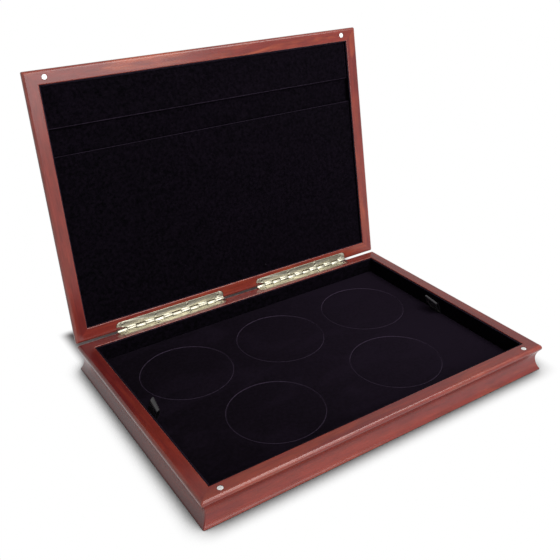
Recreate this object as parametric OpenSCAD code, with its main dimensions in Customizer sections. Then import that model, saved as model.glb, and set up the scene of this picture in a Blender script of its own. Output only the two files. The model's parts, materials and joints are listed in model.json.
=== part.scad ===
// Shallow wooden presentation case for five large coins, shown with its lid standing open.
// X runs along the front, +Y points to the hinges and +Z points up.
// The origin is the middle of the underside of the base.

/* [Case] */
// Width of the case along the front
case_w = 350; // [320:5:450]
// Depth of the case from front to back
case_d = 250; // [235:5:330]
// Height of the base
base_h = 25.5; // [22:0.5:40]
// Height of the lid
lid_h = 25.5; // [20:0.5:40]
// Gap between the two rims when the lid is shut
rim_gap = 0.4; // [0.2:0.1:1]
// How far the lid stands open, from shut
open_angle = 98.7; // [92:0.1:100]

/* [Moulding] */
// Width of a rail, from its outer face to the opening
rail_w = 12.6; // [11.6:0.2:18]
// Round on the rim's outer edge
crown_r = 2.8; // [0.6:0.1:3]
// Round under the lip
lip_r = 2.4; // [1:0.1:3]
// Depth of the centre of that round below the rim
lip_drop = 3.2; // [2.6:0.1:5]
// How far the hollow is cut in at its deepest
waist_inset = 3.6; // [2.9:0.1:5]
// Height of the deepest line of the hollow above the foot
waist_h = 12.6; // [10:0.1:13]
// How far the foot stands in from the lip
foot_inset = 0.1; // [0:0.1:1.5]
// How far the lid's top edge stands in from the lip
lid_top_inset = 6; // [5:0.1:7.4]
// Height of the foot's upright edge below the hollow
foot_edge = 0.6; // [0.3:0.1:1.5]
// Round on the rim's inner edge
edge_r = 0.8; // [0.3:0.1:1.2]

/* [Boards] */
// Thickness of the bottom board
bottom_t = 3; // [2:0.5:4]
// Thickness of the lid's top panel
panel_t = 3; // [2:0.5:4]
// Width of the rebate that a board sits in
rebate_w = 4; // [2:0.5:5]
// Clearance between a board and the wood round it
board_gap = 0.1; // [0.05:0.05:0.3]

/* [Base lining] */
// Thickness of the lining on the bottom board
floor_lining_t = 0.8; // [0.5:0.1:1.5]
// Thickness of the lining on the base's walls
wall_lining_t = 1.6; // [1:0.1:2.5]
// Depth of the linings' top edges below a rim
lining_drop = 0.8; // [0.8:0.1:2]

/* [Tray] */
// Thickness of the tray's board
tray_board_t = 3.7; // [2.4:0.1:5]
// Thickness of the tray's padded top
tray_pad_t = 2.2; // [1.5:0.1:3]
// Clearance round the tray
tray_gap = 0.6; // [0.4:0.1:1.2]
// Radius of the tray's corners
tray_corner_r = 2; // [1:0.5:5]
// Radius of a coin well
well_r = 42.8; // [30:0.2:44]
// Depth of a coin well below the tray's top
well_depth = 3.6; // [3.2:0.1:3.8]
// Distance between neighbouring wells' centres in the back row, as a share of the tray's width
back_share = 0.315; // [0.312:0.001:0.32]
// Distance between the two wells' centres in the front row, as a share of the tray's width
front_share = 0.409; // [0.33:0.001:0.45]
// Distance between the two rows' centre lines, as a share of the tray's depth
row_share = 0.436; // [0.43:0.001:0.48]
// Clearance round a disc in its well
disc_gap = 0.3; // [0.2:0.1:0.8]
// Depth of a disc's top below the tray's top
disc_drop = 0.4; // [0.2:0.1:1]

/* [Pull ribbons] */
// Width of a ribbon
ribbon_w = 15; // [8:1:20]
// Thickness of a ribbon
ribbon_t = 0.6; // [0.4:0.1:0.8]
// Length of a ribbon's loop above the tray
loop_len = 17.5; // [8:0.5:18]
// Greatest thickness of the loop
loop_bulge = 4.4; // [3:0.2:5]
// Lean of the loop towards the middle of the tray
loop_lean = 26; // [15:1:35]
// Length of ribbon glued under the tray
tail_len = 20; // [10:1:40]
// Clearance round a ribbon in the tray
ribbon_gap = 0.2; // [0.1:0.05:0.4]

/* [Lid lining] */
// Depth of the backing board below the lid's rim
lid_recess = 7; // [6:0.5:9]
// Depth of the padded strip and the pocket's front below the lid's rim
pad_drop = 3.3; // [2:0.1:4]
// Thickness of the backing board
backing_t = 2.5; // [1.5:0.5:4]
// Thickness of the lining on the lid's walls
lid_lining_t = 0.8; // [0.5:0.1:1.5]
// Height of the padded strip along the lid's front edge
strip_w = 37.9; // [20:0.1:60]
// Height of the open band between the strip and the pocket
band_w = 24.4; // [15:0.1:40]
// Thickness of the pocket's front
pocket_t = 2; // [1.5:0.1:2.5]
// Width of the spacers behind the pocket's front
spacer_w = 10; // [5:1:20]
// Clearance between the lid's padded pieces and its wall linings
pad_gap = 0.2; // [0.1:0.05:0.5]

/* [Hinges] */
// Length of a hinge
hinge_len = 115; // [80:1:130]
// Width of a leaf from the pin's axis
leaf_w = 8.6; // [7.5:0.1:9.5]
// Thickness of a leaf
leaf_t = 1; // [0.8:0.1:1.2]
// Radius of a leaf's corners
leaf_corner_r = 4; // [1:0.5:5]
// Number of knuckles on a hinge, half on each leaf
knuckles = 12; // [6:2:16]
// Outer radius of the barrel
barrel_r = 1.6; // [1.5:0.1:1.8]
// Radius of the hinge pin
pin_r = 0.8; // [0.6:0.05:0.9]
// Running clearance between the pin and the lid's knuckles
pin_gap = 0.05; // [0.03:0.01:0.08]
// Clearance between the pin and the base's knuckles, which hold it
pin_seat_gap = 0.02; // [0.01:0.01:0.03]
// Gap between neighbouring knuckles
knuckle_gap = 0.3; // [0.1:0.05:0.4]
// Clearance round the barrel in the wood and in the other leaf
barrel_gap = 0.5; // [0.25:0.05:0.6]

/* [Screws] */
// Number of screws in a leaf
screws = 4; // [2:1:5]
// Distance of the end screws from a leaf's ends
screw_margin = 6.2; // [5:0.1:10]
// Distance of the screws from the pin's axis
screw_row = 5.6; // [4.6:0.1:6]
// Radius of a screw's head
screw_head_r = 1.8; // [1.5:0.1:2]
// Radius of a screw's shank
screw_r = 0.9; // [0.7:0.05:1]
// Length of a screw
screw_len = 8; // [5:0.5:12]
// Width of the cross cut in a screw's head
cross_w = 0.4; // [0.3:0.05:0.6]
// Length of that cross
cross_len = 2.2; // [1.4:0.1:2.6]
// Depth of that cross
cross_depth = 0.5; // [0.3:0.05:0.7]

/* [Magnets] */
// Radius of a magnet
magnet_r = 2.5; // [2:0.25:3.5]
// Thickness of a magnet
magnet_t = 3; // [2:0.5:5]
// Distance of a magnet's centre from the case's side
magnet_side = 18.5; // [16:0.1:40]
// Distance of a magnet's centre from the case's front
magnet_front = 6.5; // [6:0.1:7]

/* [Hidden] */
$fn = 96;

// Overrun of a cut past the face it opens
cut = 1;

// Least upright face between the rim's crown and the lip's round
lip_face = 0.2;

// Half sizes of the opening inside the rails
inner_x = case_w / 2 - rail_w;
inner_y = case_d / 2 - rail_w;

// Heights of the pieces stacked in the base
tray_z = bottom_t + floor_lining_t;
pad_z = tray_z + tray_board_t;
tray_top = pad_z + tray_pad_t;
well_floor = tray_top - well_depth;
disc_h = well_depth - disc_drop;

// Half sizes of the tray
tray_x = inner_x - wall_lining_t - tray_gap;
tray_y = inner_y - wall_lining_t - tray_gap;

// Centres of the wells, back row first, from left to right
back_pitch = 2 * tray_x * back_share;
front_pitch = 2 * tray_x * front_share;
row_pitch = 2 * tray_y * row_share;
back_wells = [[-back_pitch, row_pitch / 2], [0, row_pitch / 2], [back_pitch, row_pitch / 2]];
front_wells = [[-front_pitch / 2, -row_pitch / 2], [front_pitch / 2, -row_pitch / 2]];
wells = concat(back_wells, front_wells);

// A ribbon's two layers lie side by side in a notch in the tray's edge
notch_depth = 2 * ribbon_t + 2 * ribbon_gap;
notch_w = ribbon_w + 2 * ribbon_gap;
tail_rebate = ribbon_t + ribbon_gap;
tail_room = tail_len + 2 * ribbon_gap;

// The ribbon's loop: points round it, how fast it narrows and where its two layers part
loop_points = 48;
loop_taper = 1.5;
loop_tip = 3 * ribbon_t;

// Half sizes of the padded pieces in the lid
lid_pad_x = inner_x - lid_lining_t - pad_gap;
lid_pad_y = inner_y - lid_lining_t - pad_gap;
pocket_y = -lid_pad_y + strip_w + band_w;

// The two hinges leave three equal lengths of wood along the back
hinge_space = (case_w - 2 * hinge_len) / 3;
hinge_x = (hinge_len + hinge_space) / 2;

// The hinge axis lies level with the back faces, midway between the closed rims
axis_y = case_d / 2;
axis_z = base_h + rim_gap / 2;
knuckle_pitch = hinge_len / knuckles;
screw_pitch = (hinge_len - 2 * screw_margin) / (screws - 1);

// Radius of the upper part of the hollow, which touches the lip's round and ends at the waist line
function cove_r(rise) =
    let (a = lip_r - waist_inset) (a * a + rise * rise - lip_r * lip_r) / (2 * (lip_r - a));

// Radius of the lower part of the hollow, from the waist line out to the foot's edge
toe_in = waist_inset - foot_inset;
toe_drop = waist_h - foot_edge;
toe_r = (toe_in * toe_in + toe_drop * toe_drop) / (2 * toe_in);

// Radius of the lid's shoulder, from the waist line in to the top edge
shoulder_in = lid_top_inset - waist_inset;
shoulder_r = (shoulder_in * shoulder_in + toe_drop * toe_drop) / (2 * shoulder_in);

// Round on the rim's outer edge, held above the lip's own round
crown = min(crown_r, lip_drop - lip_face);

// Distance from the outer face of the point where those two rounds touch
function touch_u(rise) =
    let (r = cove_r(rise)) lip_r - lip_r * (lip_r - waist_inset + r) / (lip_r + r);

// A loop of ribbon seen from its edge: a drop whose tip is at start
function drop(length, bulge, start) = [
    for (i = [0 : loop_points - 1])
        let (t = 360 * i / loop_points)
        [bulge / 2 * sin(t) * pow(sin(t / 2), loop_taper), start + (length - start) * (1 - cos(t)) / 2]
];

// Section of a base rail: outer face at x = 0, foot at y = 0 and rim at y = height
module base_moulding(height, board_t) {
    difference() {
        union() {
            moulding(height, board_t);
            translate([foot_inset, 0]) square([waist_inset, waist_h]);
        }
        intersection() {
            translate([waist_inset - toe_r, waist_h]) circle(r = toe_r);
            translate([-cut, -cut]) square([waist_inset + cut, waist_h + cut]);
        }
    }
}

// Section of a lid rail, lid's top at y = 0: the hollow runs over into a shoulder
module lid_moulding(height, board_t) {
    difference() {
        moulding(height, board_t);
        difference() {
            translate([waist_inset - cut, -cut]) square([shoulder_in + cut, waist_h + cut]);
            translate([waist_inset + shoulder_r, waist_h]) circle(r = shoulder_r);
        }
    }
}

// The part of the section that both kinds of rail have: lip, upper hollow and back
module moulding(height, board_t) {
    rise = height - lip_drop - waist_h;
    back_w = rail_w - waist_inset;
    difference() {
        union() {
            translate([waist_inset, 0]) square([back_w - edge_r, height]);
            translate([waist_inset, 0]) square([back_w, height - edge_r]);
            translate([rail_w - edge_r, height - edge_r]) circle(r = edge_r);
            translate([crown, height - lip_drop]) square([waist_inset, lip_drop]);
            translate([0, height - lip_drop]) square([waist_inset, lip_drop - crown]);
            translate([crown, height - crown]) circle(r = crown);
            translate([lip_r, height - lip_drop]) circle(r = lip_r);
            translate([touch_u(rise), waist_h]) square([waist_inset, rise]);
        }
        translate([waist_inset - cove_r(rise), waist_h]) circle(r = cove_r(rise));
        translate([rail_w - rebate_w, -cut]) square([rebate_w + cut, board_t + cut]);
    }
}

// A mitred rail along X with the section it is given, centred, with its outer face at y = 0
module rail(length, height) {
    intersection() {
        translate([-length / 2, 0, 0]) rotate([90, 0, 90]) linear_extrude(height = length) children();
        linear_extrude(height = height)
            polygon([
                [-length / 2, 0], [length / 2, 0],
                [length / 2 - rail_w, rail_w], [-length / 2 + rail_w, rail_w]
            ]);
    }
}

// One of the four rails of a frame: side 0 is the front, 1 the right, 2 the back and 3 the left
module frame_rail(side, height) {
    along = side % 2 == 0 ? case_w : case_d;
    across = side % 2 == 0 ? case_d : case_w;
    rotate([0, 0, 90 * side]) translate([0, -across / 2, 0]) rail(along, height) children();
}

// Turns a piece upside down, so that a base rail becomes a lid rail
module flipped(height) {
    translate([0, 0, height]) mirror([0, 0, 1]) children();
}

// Puts the lid's pieces, drawn with the rim at z = 0, on the open lid
module on_lid() {
    translate([0, axis_y, axis_z]) rotate([-open_angle, 0, 0])
        translate([0, -axis_y, rim_gap / 2]) children();
}

// A board centred in a frame, with its underside at z
module board(half_x, half_y, z, thickness) {
    translate([-half_x, -half_y, z]) cube([2 * half_x, 2 * half_y, thickness]);
}

// A lining strip against one wall of a frame. The side strips stand between the front and back ones
module wall_strip(side, thickness, z0, z1) {
    end = side % 2 == 0 ? 0 : thickness;
    half = (side % 2 == 0 ? inner_x : inner_y) - end;
    wall = side % 2 == 0 ? inner_y : inner_x;
    rotate([0, 0, 90 * side]) translate([-half, -wall, z0]) cube([2 * half, thickness, z1 - z0]);
}

// Flat outline of a hinge leaf, with the pin's axis along y = 0
module leaf_outline(extra) {
    half = hinge_len / 2 + extra;
    reach = leaf_w + extra;
    union() {
        translate([-half, -reach + leaf_corner_r]) square([2 * half, reach - leaf_corner_r]);
        translate([-half + leaf_corner_r, -reach]) square([2 * (half - leaf_corner_r), reach]);
        for (s = [-1, 1])
            translate([s * (half - leaf_corner_r), -reach + leaf_corner_r]) circle(r = leaf_corner_r);
    }
}

// A round bar along X over knuckle i, with its ends drawn in by inset
module knuckle_bar(i, radius, inset) {
    translate([-hinge_len / 2 + i * knuckle_pitch + inset, 0, 0]) rotate([0, 90, 0])
        cylinder(r = radius, h = knuckle_pitch - 2 * inset);
}

// A hinge leaf below the axis. Its own knuckles are first, first + 2 and so on
module leaf(first, bore_gap) {
    top = -rim_gap / 2;
    difference() {
        union() {
            translate([0, 0, top - leaf_t]) linear_extrude(height = leaf_t) leaf_outline(0);
            for (i = [first : 2 : knuckles - 1]) knuckle_bar(i, barrel_r, knuckle_gap / 2);
        }
        for (i = [1 - first : 2 : knuckles - 1]) knuckle_bar(i, barrel_r + barrel_gap, -knuckle_gap / 2);
        translate([-hinge_len / 2 - cut, 0, 0]) rotate([0, 90, 0])
            cylinder(r = pin_r + bore_gap, h = hinge_len + 2 * cut);
        for (x = screw_places())
            translate([x, -screw_row, top - leaf_t])
                cylinder(r1 = screw_r + board_gap, r2 = screw_head_r + board_gap, h = leaf_t);
    }
}

// Places of a leaf's screws along X, from the leaf's middle
function screw_places() = [for (i = [0 : screws - 1]) -hinge_len / 2 + screw_margin + i * screw_pitch];

// The four countersunk screws of a leaf
module leaf_screws() {
    top = -rim_gap / 2;
    for (x = screw_places())
        translate([x, -screw_row, top]) difference() {
            union() {
                translate([0, 0, -leaf_t]) cylinder(r1 = screw_r, r2 = screw_head_r, h = leaf_t);
                translate([0, 0, -screw_len]) cylinder(r = screw_r, h = screw_len - leaf_t);
            }
            for (turn = [0, 90])
                rotate([0, 0, turn])
                    translate([-cross_len / 2, -cross_w / 2, -cross_depth])
                        cube([cross_len, cross_w, cross_depth + cut]);
        }
}

// Wood cut away for one hinge: the leaf's mortise, the barrel and the screws
module hinge_seat() {
    top = -rim_gap / 2;
    translate([0, 0, top - leaf_t]) linear_extrude(height = leaf_t + cut) leaf_outline(board_gap);
    translate([-hinge_len / 2 - barrel_gap, 0, 0]) rotate([0, 90, 0])
        cylinder(r = barrel_r + barrel_gap, h = hinge_len + 2 * barrel_gap);
    for (x = screw_places())
        translate([x, -screw_row, top - screw_len - board_gap])
            cylinder(r = screw_r + board_gap / 2, h = screw_len);
}

// Places a hinge piece drawn round the axis: side -1 is the left hinge and 1 the right
module at_hinge(side) {
    translate([side * hinge_x, axis_y, axis_z]) children();
}

// A hinge piece of the open lid, drawn below the axis as on the base
module at_lid_hinge(side) {
    translate([0, axis_y, axis_z]) rotate([-open_angle, 0, 0]) mirror([0, 0, 1])
        translate([side * hinge_x, 0, 0]) children();
}

// Two magnets let into a front rail, with their faces level with a rim at z = 0
module magnet_pair(radius, depth) {
    for (s = [-1, 1])
        translate([s * (case_w / 2 - magnet_side), -case_d / 2 + magnet_front, -depth])
            cylinder(r = radius, h = depth);
}

module base_rail(side) {
    frame_rail(side, base_h) base_moulding(base_h, bottom_t);
}

module lid_rail(side) {
    flipped(lid_h) frame_rail(side, lid_h) lid_moulding(lid_h, panel_t);
}

// Flat outline of the tray
module tray_outline() {
    r = tray_corner_r;
    union() {
        translate([-tray_x + r, -tray_y]) square([2 * (tray_x - r), 2 * tray_y]);
        translate([-tray_x, -tray_y + r]) square([2 * tray_x, 2 * (tray_y - r)]);
        for (sx = [-1, 1], sy = [-1, 1])
            translate([sx * (tray_x - r), sy * (tray_y - r)]) circle(r = r);
    }
}

// Cuts for the ribbons in the tray's two short edges
module ribbon_notches() {
    for (s = [-1, 1])
        translate([s > 0 ? tray_x - notch_depth : -tray_x - cut, -notch_w / 2, -cut])
            cube([notch_depth + cut, notch_w, base_h]);
}

// The left ribbon: a loop over the tray, two layers in the notch and a tail under the board
module ribbon() {
    riser_x = -tray_x + ribbon_gap;
    translate([0, ribbon_w / 2, 0]) rotate([90, 0, 0]) linear_extrude(height = ribbon_w) union() {
        translate([riser_x, tray_z + ribbon_gap / 2]) square([2 * ribbon_t, tray_top - tray_z]);
        translate([riser_x, tray_z + ribbon_gap / 2]) square([tail_len, ribbon_t]);
        translate([riser_x + ribbon_t, tray_top]) rotate(-loop_lean) difference() {
            polygon(drop(loop_len, loop_bulge, 0));
            polygon(drop(loop_len - ribbon_t, loop_bulge - 2 * ribbon_t, loop_tip));
        }
    }
}

module disc(place) {
    translate([place[0], place[1], well_floor]) cylinder(r = well_r - disc_gap, h = disc_h);
}

module base_front_rail() {
    color([0.48, 0.17, 0.12]) difference() {
        base_rail(0);
        translate([0, 0, base_h + cut]) magnet_pair(magnet_r + board_gap / 2, magnet_t + cut);
    }
}

module base_back_rail() {
    color([0.48, 0.17, 0.12]) difference() {
        base_rail(2);
        for (side = [-1, 1]) at_hinge(side) hinge_seat();
    }
}

module base_left_rail() {
    color([0.48, 0.17, 0.12]) base_rail(3);
}

module base_right_rail() {
    color([0.48, 0.17, 0.12]) base_rail(1);
}

module base_bottom_board() {
    color([0.40, 0.15, 0.11])
        board(inner_x + rebate_w - board_gap, inner_y + rebate_w - board_gap, 0, bottom_t);
}

module base_floor_lining() {
    color([0.05, 0.04, 0.06]) board(inner_x, inner_y, bottom_t, floor_lining_t);
}

module base_wall_lining(side) {
    color([0.05, 0.04, 0.06]) wall_strip(side, wall_lining_t, tray_z, base_h - lining_drop);
}

module base_magnets() {
    color([0.85, 0.85, 0.86]) translate([0, 0, base_h]) magnet_pair(magnet_r, magnet_t);
}

module lid_front_rail() {
    color([0.52, 0.20, 0.14]) on_lid() difference() {
        lid_rail(0);
        mirror([0, 0, 1]) translate([0, 0, cut]) magnet_pair(magnet_r + board_gap / 2, magnet_t + cut);
    }
}

module lid_back_rail() {
    color([0.52, 0.20, 0.14]) difference() {
        on_lid() lid_rail(2);
        for (side = [-1, 1]) at_lid_hinge(side) hinge_seat();
    }
}

module lid_left_rail() {
    color([0.52, 0.20, 0.14]) on_lid() lid_rail(3);
}

module lid_right_rail() {
    color([0.52, 0.20, 0.14]) on_lid() lid_rail(1);
}

module lid_top_panel() {
    color([0.46, 0.17, 0.12]) on_lid()
        board(inner_x + rebate_w - board_gap, inner_y + rebate_w - board_gap, lid_h - panel_t, panel_t);
}

module lid_backing_board() {
    color([0.05, 0.04, 0.06]) on_lid()
        board(inner_x - board_gap, inner_y - board_gap, lid_recess, backing_t);
}

module lid_wall_lining(side) {
    color([0.05, 0.04, 0.06]) on_lid() wall_strip(side, lid_lining_t, lining_drop, lid_recess);
}

module lid_padded_strip() {
    color([0.06, 0.05, 0.07]) on_lid() translate([-lid_pad_x, -lid_pad_y, pad_drop])
        cube([2 * lid_pad_x, strip_w, lid_recess - pad_drop]);
}

module lid_pocket_front() {
    color([0.06, 0.05, 0.07]) on_lid() translate([-lid_pad_x, pocket_y, pad_drop])
        cube([2 * lid_pad_x, lid_pad_y - pocket_y, pocket_t]);
}

module lid_pocket_spacers() {
    z = pad_drop + pocket_t;
    t = lid_recess - z;
    color([0.05, 0.04, 0.06]) on_lid() union() {
        for (s = [-1, 1])
            translate([s > 0 ? lid_pad_x - spacer_w : -lid_pad_x, pocket_y, z])
                cube([spacer_w, lid_pad_y - pocket_y, t]);
        translate([-lid_pad_x, lid_pad_y - spacer_w, z]) cube([2 * lid_pad_x, spacer_w, t]);
    }
}

module lid_magnets() {
    color([0.85, 0.85, 0.86]) on_lid() mirror([0, 0, 1]) magnet_pair(magnet_r, magnet_t);
}

module tray_board() {
    color([0.08, 0.06, 0.08]) difference() {
        translate([0, 0, tray_z]) linear_extrude(height = tray_board_t) tray_outline();
        ribbon_notches();
        for (place = wells) translate([place[0], place[1], well_floor]) cylinder(r = well_r, h = base_h);
        for (s = [-1, 1])
            translate([s > 0 ? tray_x - tail_room : -tray_x, -notch_w / 2, tray_z - cut])
                cube([tail_room, notch_w, tail_rebate + cut]);
    }
}

module tray_pad() {
    color([0.07, 0.05, 0.09]) difference() {
        translate([0, 0, pad_z]) linear_extrude(height = tray_pad_t) tray_outline();
        ribbon_notches();
        for (place = wells) translate([place[0], place[1], pad_z - cut]) cylinder(r = well_r, h = base_h);
    }
}

module left_pull_ribbon() {
    color([0.02, 0.02, 0.03]) ribbon();
}

module right_pull_ribbon() {
    color([0.02, 0.02, 0.03]) mirror([1, 0, 0]) ribbon();
}

module well_disc(index) {
    color([0.07, 0.05, 0.09]) disc(wells[index]);
}

module hinge_base_leaf(side) {
    color([0.75, 0.72, 0.62]) at_hinge(side) leaf(0, pin_seat_gap);
}

module hinge_lid_leaf(side) {
    color([0.75, 0.72, 0.62]) at_lid_hinge(side) leaf(1, pin_gap);
}

module hinge_pin(side) {
    color([0.70, 0.68, 0.60]) at_hinge(side) translate([-hinge_len / 2, 0, 0]) rotate([0, 90, 0])
        cylinder(r = pin_r, h = hinge_len);
}

module hinge_base_screws(side) {
    color([0.80, 0.78, 0.70]) at_hinge(side) leaf_screws();
}

module hinge_lid_screws(side) {
    color([0.80, 0.78, 0.70]) at_lid_hinge(side) leaf_screws();
}

base_front_rail();
base_back_rail();
base_left_rail();
base_right_rail();
base_bottom_board();
base_floor_lining();
base_wall_lining(0);  // base_front_lining
base_wall_lining(2);  // base_back_lining
base_wall_lining(3);  // base_left_lining
base_wall_lining(1);  // base_right_lining
base_magnets();
lid_front_rail();
lid_back_rail();
lid_left_rail();
lid_right_rail();
lid_top_panel();
lid_backing_board();
lid_wall_lining(0);  // lid_front_lining
lid_wall_lining(2);  // lid_back_lining
lid_wall_lining(3);  // lid_left_lining
lid_wall_lining(1);  // lid_right_lining
lid_padded_strip();
lid_pocket_front();
lid_pocket_spacers();
lid_magnets();
tray_board();
tray_pad();
left_pull_ribbon();
right_pull_ribbon();
well_disc(0);  // back_left_disc
well_disc(1);  // back_middle_disc
well_disc(2);  // back_right_disc
well_disc(3);  // front_left_disc
well_disc(4);  // front_right_disc
hinge_base_leaf(-1);  // left_hinge_base_leaf
hinge_lid_leaf(-1);  // left_hinge_lid_leaf
hinge_pin(-1);  // left_hinge_pin
hinge_base_leaf(1);  // right_hinge_base_leaf
hinge_lid_leaf(1);  // right_hinge_lid_leaf
hinge_pin(1);  // right_hinge_pin
hinge_base_screws(-1);  // left_hinge_base_screws
hinge_lid_screws(-1);  // left_hinge_lid_screws
hinge_base_screws(1);  // right_hinge_base_screws
hinge_lid_screws(1);  // right_hinge_lid_screws
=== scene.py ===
"""Looks of a shallow wooden display case for five large coins, built round its packed CAD frame."""

import json
import math

import bmesh
import bpy
from bpy.props import FloatProperty, FloatVectorProperty, IntProperty, PointerProperty
from mathutils import Matrix, Vector
from mathutils.geometry import delaunay_2d_cdt


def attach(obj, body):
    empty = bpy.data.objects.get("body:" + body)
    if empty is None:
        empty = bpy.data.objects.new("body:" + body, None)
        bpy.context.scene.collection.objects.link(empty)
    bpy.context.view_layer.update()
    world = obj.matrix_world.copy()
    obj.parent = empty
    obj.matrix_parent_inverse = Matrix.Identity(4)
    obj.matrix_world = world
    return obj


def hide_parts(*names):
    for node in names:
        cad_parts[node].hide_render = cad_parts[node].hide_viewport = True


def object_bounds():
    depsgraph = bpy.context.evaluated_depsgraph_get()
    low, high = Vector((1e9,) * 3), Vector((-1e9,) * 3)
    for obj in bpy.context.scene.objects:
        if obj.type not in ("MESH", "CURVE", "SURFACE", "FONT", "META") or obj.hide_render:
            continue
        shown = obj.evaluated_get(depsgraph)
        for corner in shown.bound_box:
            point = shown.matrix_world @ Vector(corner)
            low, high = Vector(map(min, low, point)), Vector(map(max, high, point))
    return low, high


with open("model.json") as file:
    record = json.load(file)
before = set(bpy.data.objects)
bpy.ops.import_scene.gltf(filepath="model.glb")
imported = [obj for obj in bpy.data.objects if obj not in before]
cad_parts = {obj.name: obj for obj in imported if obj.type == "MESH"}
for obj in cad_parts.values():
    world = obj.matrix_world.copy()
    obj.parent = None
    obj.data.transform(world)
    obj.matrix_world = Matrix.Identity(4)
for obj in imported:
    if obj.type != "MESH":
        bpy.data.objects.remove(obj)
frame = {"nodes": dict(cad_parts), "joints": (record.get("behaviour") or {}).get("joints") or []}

bl_info = {
    "name": "Coin display case",
    "version": (1, 0, 0),
    "blender": (4, 5, 0),
    "location": "3D View > Sidebar > Case",
    "description": "Rails, velvet, hinges and stage of a display case for five large coins",
    "category": "Object",
}

MM = 0.001
CAD_BOX = [list(corner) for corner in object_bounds()]


# Places of the pieces, read from the frame

def node_extent(name, place=None):
    """Lowest and highest corner of a CAD node, in the piece frame that place turns into the row frame."""
    back = (place or Matrix()).inverted()
    points = [back @ v.co for v in frame["nodes"][name].data.vertices]
    low = Vector([min(p[k] for p in points) for k in range(3)])
    high = Vector([max(p[k] for p in points) for k in range(3)])
    return low, high


LID_JOINT = next(joint for joint in frame["joints"] if joint["name"] == "lid_hinge")
HINGE_AXIS = Vector(LID_JOINT["pos_m"])
OPEN_ANGLE = math.radians(-LID_JOINT["range_deg"][0])
CASE_WIDTH = 2 * node_extent("base_front_rail")[1].x
CASE_DEPTH = 2 * node_extent("base_left_rail")[1].y
BASE_HEIGHT = node_extent("base_front_rail")[1].z
RAIL_WIDTH = CASE_WIDTH / 2 + node_extent("base_left_rail")[1].x
HALF_GAP = HINGE_AXIS.z - BASE_HEIGHT
TRAY_TOP = node_extent("tray_pad")[1].z

BASE = Matrix()
LID = (Matrix.Translation(HINGE_AXIS) @ Matrix.Rotation(-OPEN_ANGLE, 4, "X")
       @ Matrix.Translation((0, -HINGE_AXIS.y, HALF_GAP)))
LID_HEIGHT = node_extent("lid_top_panel", LID)[1].z
TURNED_OVER = Matrix.Rotation(math.pi, 4, "Y")
SIDES = ("front", "right", "back", "left")
DISCS = ("back_left_disc", "back_middle_disc", "back_right_disc", "front_left_disc", "front_right_disc")


def part_place(part):
    return BASE if part == "base" else LID


def rail_length(side):
    return CASE_WIDTH if side % 2 == 0 else CASE_DEPTH


def rail_place(part, side):
    """Frame of a rail: X along it, Y inwards from its outer face and Z from its foot to its rim."""
    across = rail_length(side + 1)
    spot = Matrix.Rotation(math.pi / 2 * side, 4, "Z") @ Matrix.Translation((0, -across / 2, 0))
    if part == "base":
        return spot
    return LID @ spot @ Matrix.Translation((0, 0, LID_HEIGHT)) @ TURNED_OVER


def wall_place(part, side):
    """Frame of a lining on a wall: X along it, Y up the wall and Z out towards the wood."""
    turn = Matrix.Rotation(math.pi / 2 * side, 4, "Z") @ Matrix.Rotation(math.pi / 2, 4, "X")
    return part_place(part) @ turn


def hinge_place(part, side):
    """Frame of a leaf: X along the pin, the leaf towards -Y and its face just below Z = 0."""
    low, high = node_extent(f"{side}_hinge_pin")
    middle = Matrix.Translation(((low.x + high.x) / 2, HINGE_AXIS.y, HINGE_AXIS.z))
    if part == "base":
        return middle
    return middle @ Matrix.Rotation(-OPEN_ANGLE, 4, "X") @ TURNED_OVER


# Settings

def shade(red, green, blue):
    """A colour written as it looks on a screen, as the linear colour that a shader takes."""
    def linear(channel):
        channel /= 255
        return channel / 12.92 if channel <= 0.04045 else ((channel + 0.055) / 1.055) ** 2.4

    return (linear(red), linear(green), linear(blue), 1.0)


def length(name, description, default):
    return FloatProperty(name=name, description=description, default=default, unit="LENGTH", precision=5)


def share(name, description, default):
    return FloatProperty(name=name, description=description, default=default, min=0, max=1, subtype="FACTOR")


def count(name, description, default, low, high):
    return IntProperty(name=name, description=description, default=default, min=low, max=high)


def angle(name, description, degrees):
    return FloatProperty(name=name, description=description, default=math.radians(degrees), subtype="ANGLE")


def colour(name, description, default):
    return FloatVectorProperty(name=name, description=description, default=default, size=4, min=0, max=1,
                               subtype="COLOR")


def location(name, description, default):
    return FloatVectorProperty(name=name, description=description, default=default, size=3,
                               subtype="TRANSLATION", unit="LENGTH")


def rectangle(name, description, default):
    return FloatVectorProperty(name=name, description=description, default=default, size=2, unit="LENGTH")


def power(name, description, default):
    return FloatProperty(name=name, description=description, default=default, unit="POWER")


class MouldingSizes(bpy.types.PropertyGroup):
    """Section of the rails"""
    crown: length("Crown", "Round on the rim's outer edge", 2.8 * MM)
    lip: length("Lip", "Round under the lip", 2.4 * MM)
    lip_drop: length("Lip drop", "Depth of the centre of that round below the rim", 3.2 * MM)
    waist: length("Waist", "How far the hollow is cut in at its deepest", 3.6 * MM)
    waist_height: length("Waist height", "Height of the deepest line of the hollow above the foot", 12.6 * MM)
    foot_inset: length("Foot inset", "How far the foot stands in from the lip", 0.1 * MM)
    lid_top_inset: length("Lid top inset", "How far the lid's top edge stands in from the lip", 6 * MM)
    foot_edge: length("Foot edge", "Height of the foot's upright edge", 0.6 * MM)
    foot_round: length("Foot round", "Round under the foot", 0.2 * MM)
    edge: length("Inner edge", "Round on the rim's inner edge", 0.8 * MM)
    rebate: length("Rebate", "Width of the rebate that a board sits in", 4 * MM)
    corner: length("Corner", "Round on the case's upright corners", 1.3 * MM)
    arc_steps: count("Arc steps", "Faces on a quarter of a round", 9, 3, 24)


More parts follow.
